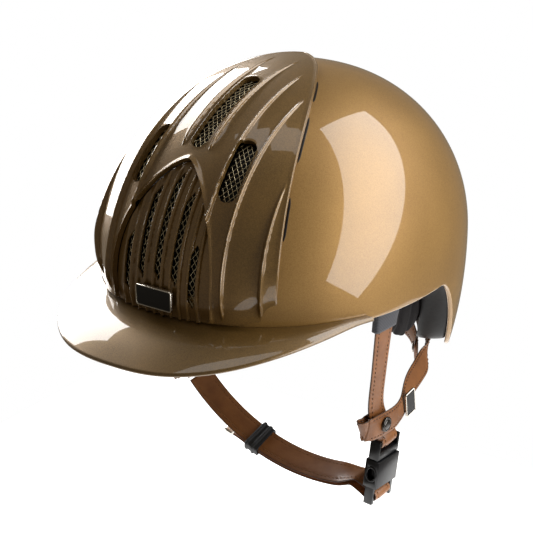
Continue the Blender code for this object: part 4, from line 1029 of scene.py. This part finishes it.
leather = tanned("tan_vegetable_tanned_leather", "#6c401a", "#885426", "#40250d")
chin_leather = tanned("brown_vegetable_tanned_leather", "#80522e", "#9c663a", "#4a2d18")
dark_thread, _, shader = start_material("waxed_brown_polyester_thread", Roughness=0.55)
shader.inputs["Base Color"].default_value = colour("#4a2b16")
pale_thread, _, shader = start_material("waxed_tan_polyester_thread", Roughness=0.55)
shader.inputs["Base Color"].default_value = colour("#8a6038")

# Nylon webbing is woven across in ribs about 1 mm apart, which catch the light one by one. The wave
# texture draws 3.2 bands per metre at a scale of 1.
WEBBING_RIB_MM, BANDS_PER_METRE = 1.1, 3.2
webbing, tree, shader = start_material("woven_slate_nylon_webbing", Roughness=0.78, Sheen_Weight=0.15)
place = add(tree, "ShaderNodeTexCoord")
ribs = add(tree, "ShaderNodeTexWave",
           {"wave_type": "BANDS", "bands_direction": "X",
            "Scale": 1 / (WEBBING_RIB_MM * MM) / BANDS_PER_METRE, "Distortion": 0.6},
           {"Vector": place.outputs["UV"]})
tone = add(tree, "ShaderNodeValToRGB", None, {"Fac": ribs.outputs["Fac"]})
tint(tone, "#2b2c31", "#46474e")
relief = add(tree, "ShaderNodeBump", {"Strength": 0.5, "Distance": 0.25 * MM},
             {"Height": ribs.outputs["Fac"]})
tree.links.new(tone.outputs["Color"], shader.inputs["Base Color"])
tree.links.new(relief.outputs[0], shader.inputs["Normal"])


def plain(name, dark, light, scale, **settings):
    """A moulded or plated finish whose tone drifts slightly."""
    made, tree, shader = start_material(name, **settings)
    place = add(tree, "ShaderNodeTexCoord")
    drift = add(tree, "ShaderNodeTexNoise", {"Scale": scale, "Detail": 4.0},
                {"Vector": place.outputs["Object"]})
    tone = add(tree, "ShaderNodeValToRGB", None, {"Fac": drift.outputs["Fac"]})
    tint(tone, dark, light)
    grit = add(tree, "ShaderNodeBump", {"Strength": 0.15, "Distance": 0.05 * MM},
               {"Height": drift.outputs["Fac"]})
    tree.links.new(tone.outputs["Color"], shader.inputs["Base Color"])
    tree.links.new(grit.outputs[0], shader.inputs["Normal"])
    return made


gunmetal = plain("gunmetal_plated_steel", "#3a3836", "#5b5855", 300.0, Metallic=1.0, Roughness=0.22)
nickel = plain("nickel_plated_steel", "#a8a49c", "#cbc7be", 300.0, Metallic=1.0, Roughness=0.2)
rubber = plain("moulded_black_rubber", "#1a1b1c", "#252628", 500.0, Roughness=0.62)
nylon = plain("moulded_black_acetal", "#0b0b0d", "#131316", 700.0, Roughness=0.30, Specular_IOR_Level=0.32)
print("harness materials ready")

# %% [markdown]
# ## Straps
# A strap is a flat section swept along a path. Its section is softly padded between two sewn lines, and
# every stitch is a real piece of thread that dips into the leather at both ends.

# %% Strap tools
STRAP_WIDTH, STRAP_THICK, LAYER_THICK, CHIN_THICK = 0.018, 0.0024, 0.0016, 0.0020
STEP = 0.0014                   # distance between a strap's rows of points
EDGE_POWER, CROWN_POWER = 9, 0.7                # a high power keeps the section nearly square at its edges
SEAM_SINK, SEAM_SPREAD = 0.16, 0.05             # the seams' grooves, as shares of thickness and width
STITCH_MARGIN = 0.004           # no stitches this near to a strap's ends
STITCH_PITCH, STITCH_LENGTH, STITCH_RADIUS = 0.0031, 0.0021, 0.00030


def smooth_path(points, steps):
    """Points along a smooth curve through the given ones."""
    p = np.asarray(points, float)
    ends = np.concatenate([[2 * p[0] - p[1]], p, [2 * p[-1] - p[-2]]])
    path = []
    for i in range(len(p) - 1):
        a, b, c, d = ends[i:i + 4]
        for t in np.arange(steps) / steps:
            path.append(0.5 * (2 * b + (c - a) * t + (2 * a - 5 * b + 4 * c - d) * t * t
                               + (3 * b - a - 3 * c + d) * t ** 3))
    return np.array(path + [p[-1]])


def widths(count, *stops):
    """Width directions along a path, eased between (place, direction) stops."""
    places = np.linspace(0, 1, count)
    sides = np.zeros((count, 3))
    for before, after in zip(stops[:-1], stops[1:]):
        part = (places >= before[0] - 1e-9) & (places <= after[0] + 1e-9)
        share = ease((places[part] - before[0]) / max(after[0] - before[0], 1e-6))[:, None]
        sides[part] = mix(np.asarray(before[1], float), np.asarray(after[1], float), share)
    return sides / np.linalg.norm(sides, axis=1, keepdims=True)


def even(path, sides, step=STEP):
    """The same path with its points a fixed step apart, with its directions."""
    path = np.asarray(path, float)
    run = np.concatenate([[0], np.cumsum(np.linalg.norm(np.diff(path, axis=0), axis=1))])
    at = np.linspace(0, run[-1], max(int(run[-1] / step), 3) + 1)
    spots = np.stack([np.interp(at, run, path[:, k]) for k in range(3)], axis=1)
    across = np.stack([np.interp(at, run, sides[:, k]) for k in range(3)], axis=1)
    for _ in range(2):      # takes the corners out of the straight runs between points
        spots[1:-1] = (spots[:-2] + 2 * spots[1:-1] + spots[2:]) / 4
    along = np.gradient(spots, axis=0)
    along /= np.linalg.norm(along, axis=1, keepdims=True)
    across -= along * (across * along).sum(1, keepdims=True)
    across /= np.linalg.norm(across, axis=1, keepdims=True)
    return at, spots, across, np.cross(along, across)


def thickness(w, thick, padding, seam):
    """Half thickness of a strap across its width, w from -1 to 1."""
    edge = np.sqrt(np.clip(1 - np.abs(w) ** EDGE_POWER, 0, 1))
    cushion = 1 - padding + padding * np.clip(1 - (w / seam) ** 2, 0, 1) ** CROWN_POWER
    sewn = SEAM_SINK * np.exp(-((np.abs(w) - seam) / SEAM_SPREAD) ** 2)
    return thick / 2 * (edge * cushion - sewn)


SECTION = np.sin(np.linspace(-1, 1, 23) * math.pi / 2)


def strap(name, path, sides, width, thick, look, thread, body, node, padding=0.32, seam=0.62, round_end=False,
          blend=None):
    """A padded leather strap with its two rows of stitches on both faces."""
    at, spots, across, out = even(path, sides)
    half = np.full(len(at), width / 2)
    if round_end:
        left = np.clip((at[-1] - at) / (width / 2), 0, 1)
        half = half * np.sqrt(np.clip(1 - (1 - left) ** 2, 0.002, 1))
    w = np.concatenate([SECTION, SECTION[::-1][1:-1]])
    sign = np.concatenate([np.ones(len(SECTION)), -np.ones(len(SECTION) - 2)])
    high = thickness(w, thick, padding, seam) * sign
    rows = (spots[:, None] + across[:, None] * (w[None, :] * half[:, None])[..., None]
            + out[:, None] * high[None, :, None])
    uv = np.stack([np.repeat(at, len(w)), np.tile(w * STRAP_WIDTH / 2, len(at))], axis=1)
    made = build(name, rows.reshape(-1, 3), capped(len(at), len(w)), [look], body, [node], uv=uv)
    lines, ups = [], []
    lift = thickness(np.array(seam), thick, padding, seam) + STITCH_RADIUS * 0.35
    dip = np.array((-1.0, 0.2, 0.55, 0.2, -1.0)) * STITCH_RADIUS
    for start in np.arange(STITCH_MARGIN, at[-1] - STITCH_MARGIN - STITCH_LENGTH, STITCH_PITCH):
        where = np.linspace(start, start + STITCH_LENGTH, 5)
        centre, side, up = (np.stack([np.interp(where, at, arr[:, k]) for k in range(3)], axis=1)
                            for arr in (spots, across, out))
        reach = np.interp(where, at, half)[:, None] * seam
        for edge in (-1, 1):
            for face in (-1, 1):
                lines.append(centre + side * reach * edge + up * (lift + dip)[:, None] * face)
                ups.append(up)
    points, faces = tubes(lines, ups, STITCH_RADIUS, swell=np.array((0.5, 1.0, 1.0, 1.0, 0.5)))
    sewn = build(name + "_stitches", points, faces, [thread], body)
    if blend:
        for piece in (made, sewn):
            piece.parent = None
            del piece["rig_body"]
            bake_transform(piece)
    return at, spots, across, out


def mm(*triples):
    """Points given in millimetres."""
    return np.array(triples, float) * MM


def to_side(points, side):
    """Points of the left side (1), or mirrored to the right (-1)."""
    return np.asarray(points) * (side, 1, 1)


print("strap section has", len(SECTION) * 2 - 2, "points")

# %% [markdown]
# ## The harness
# Two front straps hang from rivets, rear straps wrap round them as dividers, and a nape strap joins the
# rear ones. The paths repeat the CAD part's points, so each strap lies where its solid does.

# %% The chin strap's arc
CHIN_CENTRE, CHIN_RADIUS = np.array((0.035, -0.016, -0.0078)), 0.128
CHIN_FROM, CHIN_TO, TAIL_ENDS = -48.3, 17.0, -28.0          # degrees round the arc, 0 is straight down
CHIN_TILT, CHIN_EASE = 25.0, 9.0                # it leans this far, eased in over this many degrees
TAIL_OFFSET, TAIL_FLARE = 0.0034, 0.0040        # the folded-back tail lies on the face and flares at its end


def chin_frame(angle):
    """Directions on the chin strap's arc: away from its centre, along its width, and out of its face."""
    a = math.radians(angle)
    tilt = math.radians(CHIN_TILT * float(ease((CHIN_TO - angle) / CHIN_EASE)))
    away, back = np.array((math.sin(a), 0.0, -math.cos(a))), np.array((0.0, 1.0, 0.0))
    return away, back * math.cos(tilt) - away * math.sin(tilt), away * math.cos(tilt) + back * math.sin(tilt)


def chin_point(angle, out=0.0):
    """A point on the chin strap's arc, or this far out of its face."""
    away, _, face = chin_frame(angle)
    return CHIN_CENTRE + away * CHIN_RADIUS + face * out


def chin_side(angle):
    """The direction of the chin strap's width."""
    return chin_frame(angle)[1]


# %% Front straps and their webbing sleeves
FRONT_UPPER = ((99.0, -27.0, 15.0), (97.0, -27.0, 1.0), (94.4, -26.5, -13.0), (90.6, -26.0, -46.0))
FRONT_LEFT = mm(*FRONT_UPPER, (88.4, -26.0, -70.0), (88.0, -21.5, -84.0), (87.5, -16.4, -91.5),
                (89.3, -13.1, -95.6), (91.2, -12.8, -99.4))
INSERT_TURN = mm((91.3, -12.9, -101.6), (89.6, -12.9, -103.7), (86.6, -12.9, -103.8), (84.7, -12.9, -101.6),
                 (84.8, -13.4, -97.4))
FRONT_RIGHT = mm(*FRONT_UPPER, (84.0, -23.0, -67.0), (75.5, -18.0, -76.0))
SLEEVE_WALL, SLEEVE_GAP, SLEEVE_DROP = 0.0009, 0.0006, 0.016


SLEEVE_SIDES, SLEEVE_POWERS = 40, (0.25, 0.5)    # low powers make the round section a flat one


def sleeve(name, spots, across, out, inner, wall, look, body, node, ribs=None):
    """A flat tube round a strap: its bore, its rolled ends and its outside."""
    a = math.tau * np.arange(SLEEVE_SIDES) / SLEEVE_SIDES
    flat_x, flat_y = signed_power(np.cos(a), SLEEVE_POWERS[0]), signed_power(np.sin(a), SLEEVE_POWERS[1])
    rows = []
    order = [(i, 0.0) for i in (1, 0)] + [(0, 0.6)] + [(i, 1.0) for i in range(len(spots))]
    order += [(len(spots) - 1, 0.6), (len(spots) - 1, 0.0), (len(spots) - 2, 0.0)]
    for i, share in order:
        thick = wall * share * (1 if ribs is None or share < 1 else ribs(i / (len(spots) - 1)))
        rows.append(spots[i] + across[i] * (flat_x * (inner[0] / 2 + thick))[:, None]
                    + out[i] * (flat_y * (inner[1] / 2 + thick))[:, None])
    uv = np.stack([np.repeat(np.arange(len(rows)) * STEP, SLEEVE_SIDES),
                   np.tile(flat_x * STRAP_WIDTH / 2, len(rows))], axis=1)
    build(name, np.concatenate(rows), quads(len(rows), SLEEVE_SIDES, closed=True), [look], body, [node],
          uv=uv)


for word, side in (("left", 1), ("right", -1)):
    points = to_side(FRONT_LEFT if side > 0 else FRONT_RIGHT, side)
    path = smooth_path(points, 8)
    top = np.array((0.29 * side, 0.957, 0.0))
    if side > 0:
        path = np.concatenate([path, smooth_path(INSERT_TURN, 6)])
        stops = ((0.0, top), (0.3, (0, 1, 0)), (0.5, (0, 0.94, 0.35)), (0.62, (0, 1, 0)), (1.0, (0, 1, 0)))
    else:
        end = chin_side(-57.0)
        path = np.concatenate([path, [chin_point(a) for a in (-56.0, -54.0, -51.5, -49.0)]])
        stops = ((0.0, top), (0.45, (0, 1, 0)), (0.8, end), (1.0, end))
    sides = widths(len(path), *stops)
    _, spots, across, out = strap(word + "_front_strap_leather", path, sides, STRAP_WIDTH, STRAP_THICK,
                                  leather, dark_thread, "helmet", word + "_front_strap")
    part = (spots[:, 2] < EAR_HEIGHT) & (spots[:, 2] > -SLEEVE_DROP - 0.0006)
    sleeve(word + "_webbing_sleeve", spots[part], across[part], out[part],
           (STRAP_WIDTH + 2 * SLEEVE_GAP, STRAP_THICK + 2 * SLEEVE_GAP), SLEEVE_WALL, webbing, "helmet",
           word + "_strap_sleeve")
print("front straps done")

# %% Dividers: rear straps, folds and flaps
FOLD_LEFT = np.array((0.0, 0.40, -0.915))
REAR_LEFT = mm((89.8, -38.6, -83.6), (91.4, -33.0, -84.2), (91.6, -20.5, -85.6), (91.6, -8.0, -86.2),
               (88.6, 4.0, -86.8), (85.4, 14.0, -86.0), (81.0, 28.0, -81.0), (76.0, 47.4, -79.6),
               (71.0, 64.1, -79.0), (67.0, 74.5, -74.0), (63.5, 83.0, -62.0), (61.6, 88.5, -47.0))
FLAP_LEFT = mm((86.0, -37.6, -83.8), (85.0, -32.0, -84.4), (84.4, -20.5, -85.6), (84.4, -7.0, -86.4))
DIVIDER_AT, REAR_WIDTH, FLAP_WIDTH = -54.0, STRAP_WIDTH * 0.92, STRAP_WIDTH * 0.84
UP = np.array((0.0, 0.0, 1.0))


def unit(v):
    """The direction of v, with a length of 1."""
    return np.asarray(v, float) / np.linalg.norm(v)


def divider_points(side):
    """Rear strap, flap, fold direction and stud places of one divider."""
    if side > 0:
        return REAR_LEFT, FLAP_LEFT, -FOLD_LEFT
    _, across, face = chin_frame(DIVIDER_AT)
    middle = chin_point(DIVIDER_AT)
    outer = ((-14.6, 1.6), (-9.0, 3.0), (0.0, 3.1), (8.0, 3.4))
    inner = ((-14.0, -1.6), (-9.0, -2.8), (0.0, -2.9), (11.0, -2.9))
    rear = [middle + across * q * MM + face * r * MM for q, r in outer]
    rear = np.concatenate([rear, mm((-71.0, 4.5, -84.0), (-75.5, 15.0, -84.0), (-79.5, 29.0, -81.0)),
                           to_side(REAR_LEFT[7:], -1)])
    flap = np.array([middle + across * q * MM + face * r * MM for q, r in inner])
    return rear, flap, unit(chin_point(DIVIDER_AT - 1) - chin_point(DIVIDER_AT + 1))


def lathe(name, centre, axis, profile, look, body, node, sides=40):
    """A turned steel piece: profile gives radius and height along its axis."""
    axis = unit(axis)
    first = unit(np.cross(axis, (0.3, 0.9, 0.2)))
    second = np.cross(axis, first)
    a = math.tau * np.arange(sides) / sides
    ring = first * np.cos(a)[:, None] + second * np.sin(a)[:, None]
    rows = [centre + axis * height + ring * max(radius, 1e-5) for radius, height in profile]
    build(name, np.concatenate(rows), capped(len(rows), sides), [look], body, [node], sharp=50)


STUD_HEIGHT, LABEL_SIZE, LABEL_CORNER, LABEL_FRAME = 0.0020, (0.0105, 0.019, 0.0012), 0.0012, 0.0006
LABEL_TURN, LABEL_LIFT = 20.0, 0.0030           # the stiff label's rear edge stands off the strap
STUD_BASE_SHARE, REAR_RIVET_SHARE = 0.9, 0.8    # radius beside the stud's cap, and beside the front rivet
# profiles: radius, and height in metres, or for the stud as a share of its height
RIVET_PROFILE = [(0.0046, -0.0006), (0.0048, -0.0002), (0.0044, 0.0003), (0.0030, 0.0006), (0.0001, 0.0006)]
STUD_PROFILE = [(0.0046, -0.5), (0.0050, -0.35), (0.0050, -0.05), (0.0047, 0.18), (0.0041, 0.30),
                (0.0036, 0.20), (0.0033, 0.20), (0.0030, 0.34), (0.0022, 0.44), (0.0011, 0.49),
                (0.0001, 0.50)]
for word, side in (("left", 1), ("right", -1)):
    rear, flap, fold = divider_points(side)
    path = smooth_path(rear, 8)
    inward, round_head = unit((-0.35 * side, -0.10, 1.0)), unit((0.75 * side, -0.62, 0.05))
    leaves = (0.14, unit(fold + UP)) if side > 0 else (0.28, fold)
    at_nape = unit((0.5 * side, -0.5, 0.7))
    sides = widths(len(path), (0.0, fold), leaves, (leaves[0] + 0.17, UP), (0.7, inward), (0.86, at_nape),
                   (1.0, round_head))
    strap(word + "_rear_strap_leather", path, sides, REAR_WIDTH, LAYER_THICK, leather, dark_thread, "helmet",
          word + "_rear_strap", padding=0.2, seam=0.74)
    ends = fold if side < 0 else unit(fold + UP)
    start, first = rear[0], flap[0]
    lead = unit(rear[0] - rear[1]) * 0.0026
    bend = np.array([start, start + lead * 0.7, (start + first) / 2 + lead * 1.5, first + lead * 0.7])
    path = smooth_path(np.concatenate([bend, flap]), 8)
    sides = widths(len(path), (0.0, fold), (0.35, fold), (1.0, ends))
    strap(word + "_divider_flap_leather", path, sides, FLAP_WIDTH, LAYER_THICK, leather, dark_thread,
          "helmet", word + "_divider_flap", padding=0.2, seam=0.74, round_end=True,
          blend=(("helmet", word + "_flap"), tuple(start), tuple(mix(start, first, 0.8))))
    stud, inside = rear[2], flap[2]
    axis = unit(stud - inside)
    profile = [(r, h * STUD_HEIGHT) for r, h in STUD_PROFILE]
    stands = LAYER_THICK / 2 + GAP + STUD_HEIGHT / 2
    lathe(word + "_stud_dome", stud + axis * stands, axis, profile, gunmetal, "helmet", word + "_stud_cap")
    lathe(word + "_stud_base", inside - axis * stands, -axis, [(r * STUD_BASE_SHARE, h) for r, h in profile],
          gunmetal, word + "_flap", word + "_stud_socket")
    along = unit(rear[6] - rear[4])
    out = unit(np.cross(along, UP)) * side
    out = out if out[0] * side > 0 else -out
    over = np.cross(out, along)
    place = rear[5] + out * (LAYER_THICK / 2 + LABEL_SIZE[2] / 2 + LABEL_LIFT)
    c, s = math.cos(math.radians(LABEL_TURN)), math.sin(math.radians(LABEL_TURN))
    along, out = along * c + out * s, out * c - along * s
    framed_plate(word + "_blank_label", place, (along, over, out), LABEL_SIZE, LABEL_CORNER, LABEL_FRAME,
                 word + "_label")
    top = to_side(mm(FRONT_UPPER[0]), side)[0] + (side * 0.0024, 0.0, -0.0055)
    lathe(word + "_front_rivet", top, (-side, 0.25, 0.14), RIVET_PROFILE, nickel, "helmet",
          word + "_front_anchor")
    top = to_side(REAR_LEFT[-1:], side)[0] + (side * 0.0013, 0.0017, -0.004)
    lathe(word + "_rear_rivet", top, (-side * 0.62, -0.75, -0.12),
          [(r * REAR_RIVET_SHARE, h) for r, h in RIVET_PROFILE], nickel, "helmet", word + "_rear_anchor")
print("dividers done")

# %% Nape strap with its eyelets
EYELET_PROFILE = [(0.0021, -0.0005), (0.0038, -0.0005), (0.0042, -0.0001), (0.0038, 0.0004), (0.0029, 0.0005),
                  (0.0022, 0.0001), (0.0020, -0.0007)]
NAPE = mm((60.5, 70.0, -80.0), (56.0, 79.0, -77.0), (40.0, 94.0, -72.0), (20.0, 101.5, -70.0))
path = smooth_path(np.concatenate([NAPE, mm((0.0, 103.5, -69.5)), to_side(NAPE, -1)[::-1]]), 8)
strap("nape_strap_leather", path, np.tile(UP, (len(path), 1)), STRAP_WIDTH, CHIN_THICK, leather, dark_thread,
      "helmet", "nape_strap")
for word, side in (("left", 1), ("right", -1)):
    start, onward = to_side(NAPE, side)[:2]
    along = unit(onward - start)
    out = np.cross(along, UP)
    facing = unit(-out if out[0] * side > 0 else out)
    spot = start + along * (STRAP_WIDTH * 0.45) + facing * (CHIN_THICK / 2 + 2 * GAP + 0.0005)
    lathe(word + "_brass_eyelet", spot, facing, EYELET_PROFILE, nickel, "helmet", word + "_nape_eyelet")
print("nape strap done")

# %% Chin strap, its tip and its keeper
angles = np.linspace(CHIN_FROM, CHIN_TO, 60)
bar_turn = mm((77.0, -16, -132.4), (82.5, -16, -134.8), (87.2, -16, -136.0), (88.8, -16, -138.9),
              (86.8, -16, -142.0), (82.0, -16, -142.3), (77.0, -16, -139.2))
tail = np.linspace(CHIN_TO - 2.5, TAIL_ENDS, 40)
turn = smooth_path([chin_point(CHIN_TO), *bar_turn, chin_point(tail[0], TAIL_OFFSET)], 6)[1:-1]
flare = TAIL_FLARE * ease((-25.0 - tail) / 6.0)
path = np.concatenate([[chin_point(a) for a in angles], turn,
                       [chin_point(a, TAIL_OFFSET + rise) for a, rise in zip(tail, flare)]])
sides = np.concatenate([[chin_side(a) for a in angles], np.tile((0.0, 1.0, 0.0), (len(turn), 1)),
                        [chin_side(a) for a in tail]])
BLEND_ENDS = -33.0              # the tail and the keeper start beyond this angle
strap("chin_strap_leather", path, sides, STRAP_WIDTH, CHIN_THICK, chin_leather, pale_thread, "chin_strap",
      "chin_strap", seam=0.66,
      blend=(("helmet", "chin_strap"), tuple(chin_point(CHIN_FROM)), tuple(chin_point(BLEND_ENDS))))

TIP_AT, TIP_FLARE, TIP_STEP, TIP_SIDES = (-28.4, -29.8, -31.2), (0.62, 0.97, 1.32), 0.0005, 32
tip_path = np.array([chin_point(a, TAIL_OFFSET + TAIL_FLARE * k) for a, k in zip(TIP_AT, TIP_FLARE)])
at, spots, across, out = even(tip_path, np.tile(chin_side(-30.0), (3, 1)), TIP_STEP)
half = STRAP_WIDTH * 0.52 * np.where(at > at[-1] - 0.002, 0.96, 1.0)
a = math.tau * np.arange(TIP_SIDES) / TIP_SIDES
section = np.stack([signed_power(np.cos(a), 0.3), signed_power(np.sin(a), 0.6)], axis=1)
rise = CHIN_THICK * 0.8 * np.minimum(1, 0.75 + 0.25 * np.sqrt(np.clip((at[-1] - at) / 0.0015, 0, 1)))
rows = spots[:, None] + across[:, None] * (section[None, :, :1] * half[:, None, None]) \
    + out[:, None] * (section[None, :, 1:] * rise[:, None, None])
build("metal_strap_tip", rows.reshape(-1, 3), capped(len(at), TIP_SIDES), [nickel], "chin_strap",
      ["strap_tip"], sharp=50)

KEEPER_AT, KEEPER_LENGTH, KEEPER_WALL, KEEPER_GAP = -20.6, 0.0100, 0.0018, 0.0006
KEEPER_RIBS, GROOVE_SHARE = 4, 0.62             # its wall in the grooves, as a share of the ribs' wall
half = math.degrees(KEEPER_LENGTH / 2 / CHIN_RADIUS)
angles = np.linspace(KEEPER_AT - half, KEEPER_AT + half, 34)
frames = [chin_frame(a) for a in angles]
sleeve("ribbed_rubber_keeper", np.array([chin_point(a, TAIL_OFFSET / 2) for a in angles]),
       np.array([f[1] for f in frames]), np.array([f[2] for f in frames]),
       (STRAP_WIDTH + 2 * KEEPER_GAP, TAIL_OFFSET + CHIN_THICK + 2 * KEEPER_GAP), KEEPER_WALL, rubber,
       "keeper", "chin_keeper",
       ribs=lambda s: mix(GROOVE_SHARE, 1.0, max(0.0, math.sin(math.pi * KEEPER_RIBS * s)) ** 0.6))
print("chin strap done")

# %% [markdown]
# ## The buckle
# The side-release buckle is moulded in acetal, a slippery hard plastic with softly rounded edges. Its
# CAD solids have the right shape but sharp edges, so copies of them get a bevel. A rounded rim is added
# round each side window, where a finger and a thumb press the prongs.

# %% Build the buckle
def softened(node, name, body, radius):
    """A copy of a moulded CAD node with rounded edges, which replaces it."""
    bm = bmesh.new()
    bm.from_mesh(frame["nodes"][node].data)
    bmesh.ops.remove_doubles(bm, verts=bm.verts, dist=1e-6)
    bmesh.ops.dissolve_limit(bm, angle_limit=math.radians(2), verts=bm.verts, edges=bm.edges)
    mesh = bpy.data.meshes.new(name)
    bm.to_mesh(mesh)
    bm.free()
    made = stand(name, mesh)
    bevel = made.modifiers.new("bevel", "BEVEL")
    bevel.width, bevel.segments, bevel.limit_method, bevel.angle_limit = radius, 3, "ANGLE", math.radians(40)
    bevel.harden_normals = True
    mesh = settle(made)
    mesh.materials.clear()
    mesh.materials.append(nylon)
    mesh.shade_smooth()
    mesh.set_sharp_from_angle(angle=math.radians(55))
    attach(made, body)
    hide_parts(node)


BUCKLE_TOP, BUCKLE_BOTTOM = np.array((0.0880, -0.0128, -0.1000)), np.array((0.0845, -0.0160, -0.1410))
BUCKLE_WIDTH, INSERT_LENGTH, WINDOW_AT = 0.0250, 0.0128, 0.0098
WINDOW_HALF, RIM_RADIUS, RIM_STEPS_ROUND = (0.0049, 0.0036), 0.00075, 36
down = unit(BUCKLE_BOTTOM - BUCKLE_TOP)
wide = unit(np.array((0, 1, 0)) - down * down[1])
facing = np.cross(down, wide)
facing = facing if facing[0] > 0 else -facing
for node, name, body, radius in (("buckle_insert", "moulded_buckle_insert", "helmet", 0.0006),
                                 ("buckle_socket", "moulded_buckle_socket", "chin_strap", 0.0008),
                                 ("prong_front", "moulded_front_prong", "prong_front", 0.0005),
                                 ("prong_rear", "moulded_rear_prong", "prong_rear", 0.0005)):
    softened(node, name, body, radius)
socket_start = INSERT_LENGTH - 0.001 + 2 * GAP
a = math.tau * np.arange(RIM_STEPS_ROUND + 1) / RIM_STEPS_ROUND
lines, ups = [], []
for side in (-1, 1):
    centre = BUCKLE_TOP + wide * side * (BUCKLE_WIDTH / 2 - 0.0002) + down * (socket_start + WINDOW_AT)
    lines.append(centre + down * (np.cos(a) * WINDOW_HALF[0])[:, None]
                 + facing * (np.sin(a) * WINDOW_HALF[1])[:, None])
    ups.append(np.tile(wide * side, (len(a), 1)))
points, faces = tubes(lines, ups, RIM_RADIUS, sides=10)
build("buckle_window_rims", points, faces, [nylon], "chin_strap")

# %% [markdown]
# ## Studio
# Two large soft boxes do most of the work on glossy lacquer, because what the eye reads as its shape is
# the bright panels mirrored in it. The rest of the room is kept dim. The floor is plain and pale.

# %% Floor, lights and camera
FLOOR_DROP, FLOOR_HALF, FLOOR_GLOW = 0.50, 0.9, 0.85
floor_paint, tree, shader = start_material("matt_white_painted_floor", Roughness=0.9)
shader.inputs["Base Color"].default_value = colour("#f4f4f4")
shader.inputs["Emission Color"].default_value = colour("#ffffff")
shader.inputs["Emission Strength"].default_value = FLOOR_GLOW
low = float(cad_low[2]) - FLOOR_DROP
corners = [(x * FLOOR_HALF, y * FLOOR_HALF, low) for x, y in ((-1, -1), (1, -1), (1, 1), (-1, 1))]
floor = stand("floor", bpy.data.meshes.new("floor"))
floor.data.from_pydata(corners, [], [(0, 1, 2, 3)])
floor.data.materials.append(floor_paint)


def direction(turn, lift):
    """A direction, from a turn round the helmet (0 is its front) and a lift above level, in degrees."""
    a, e = math.radians(turn), math.radians(lift)
    return Vector((math.sin(a) * math.cos(e), -math.cos(a) * math.cos(e), math.sin(e)))


def soft_box(name, beside, first, last, far, width, power):
    """A long rectangular lamp. Seen from a point beside the helmet, it runs between two directions."""
    first, last = direction(*first), direction(*last)
    middle = (first + last).normalized()
    along = (first - last).normalized()
    half = math.acos(first.dot(middle))
    lamp = bpy.data.lights.new(name, "AREA")
    lamp.shape = "RECTANGLE"
    lamp.size, lamp.size_y = width, 2 * far * math.tan(half)
    lamp.energy = power
    made = stand(name, lamp)
    made.matrix_world = Matrix((along.cross(middle), along, middle)).transposed().to_4x4()
    made.location = Vector(beside) + middle * far
    print(name, "is", round(lamp.size, 2), "by", round(lamp.size_y, 2), "m")


# each lamp: a point beside the helmet, its two ends seen from there, its distance, width and watts
SHELL_SIDE, PANEL_SIDE, CROWN = (0.10, 0.02, 0.05), (-0.05, -0.12, 0.03), (0.0, 0.0, 0.1)
soft_box("side_soft_box", SHELL_SIDE, (168.0, 54.0), (88.0, -17.0), 1.0, 0.70, 24.0)
soft_box("front_soft_box", PANEL_SIDE, (-128.0, 42.0), (-104.0, -6.0), 1.0, 0.75, 22.0)
soft_box("top_fill", CROWN, (30.0, 82.0), (210.0, 82.0), 1.8, 1.2, 3.0)

bpy.context.scene.view_settings.view_transform = "Standard"
world = bpy.data.worlds.new("studio")
bpy.context.scene.world = world
world.use_nodes = True
tree = world.node_tree
tree.nodes.clear()
rays = add(tree, "ShaderNodeLightPath")
room = add(tree, "ShaderNodeBackground", {"Color": colour("#fff3e0"), "Strength": 0.20})
backdrop = add(tree, "ShaderNodeBackground", {"Color": colour("#ffffff"), "Strength": 1.0})
either = add(tree, "ShaderNodeMixShader", None, {0: rays.outputs["Is Camera Ray"], 1: room.outputs[0],
                                                  2: backdrop.outputs[0]})
add(tree, "ShaderNodeOutputWorld", None, {"Surface": either.outputs[0]})

CAMERA_AT, CAMERA_AIM, CAMERA_ROLL = (0.6105, -0.8690, 0.4280), (0.0, -0.020, 0.0022), -0.77
LENS, SENSOR = 117.2, 36.0      # a long lens, in millimetres, keeps the proportions calm
camera = stand("camera", bpy.data.cameras.new("camera"))
camera.location = CAMERA_AT
camera.rotation_mode = "QUATERNION"
camera.rotation_quaternion = (Vector(CAMERA_AIM) - Vector(CAMERA_AT)).to_track_quat("-Z", "Y")
camera.rotation_quaternion = camera.rotation_quaternion @ Quaternion((0, 0, 1), math.radians(CAMERA_ROLL))
camera.data.lens, camera.data.sensor_width = LENS, SENSOR
bpy.context.scene.camera = camera
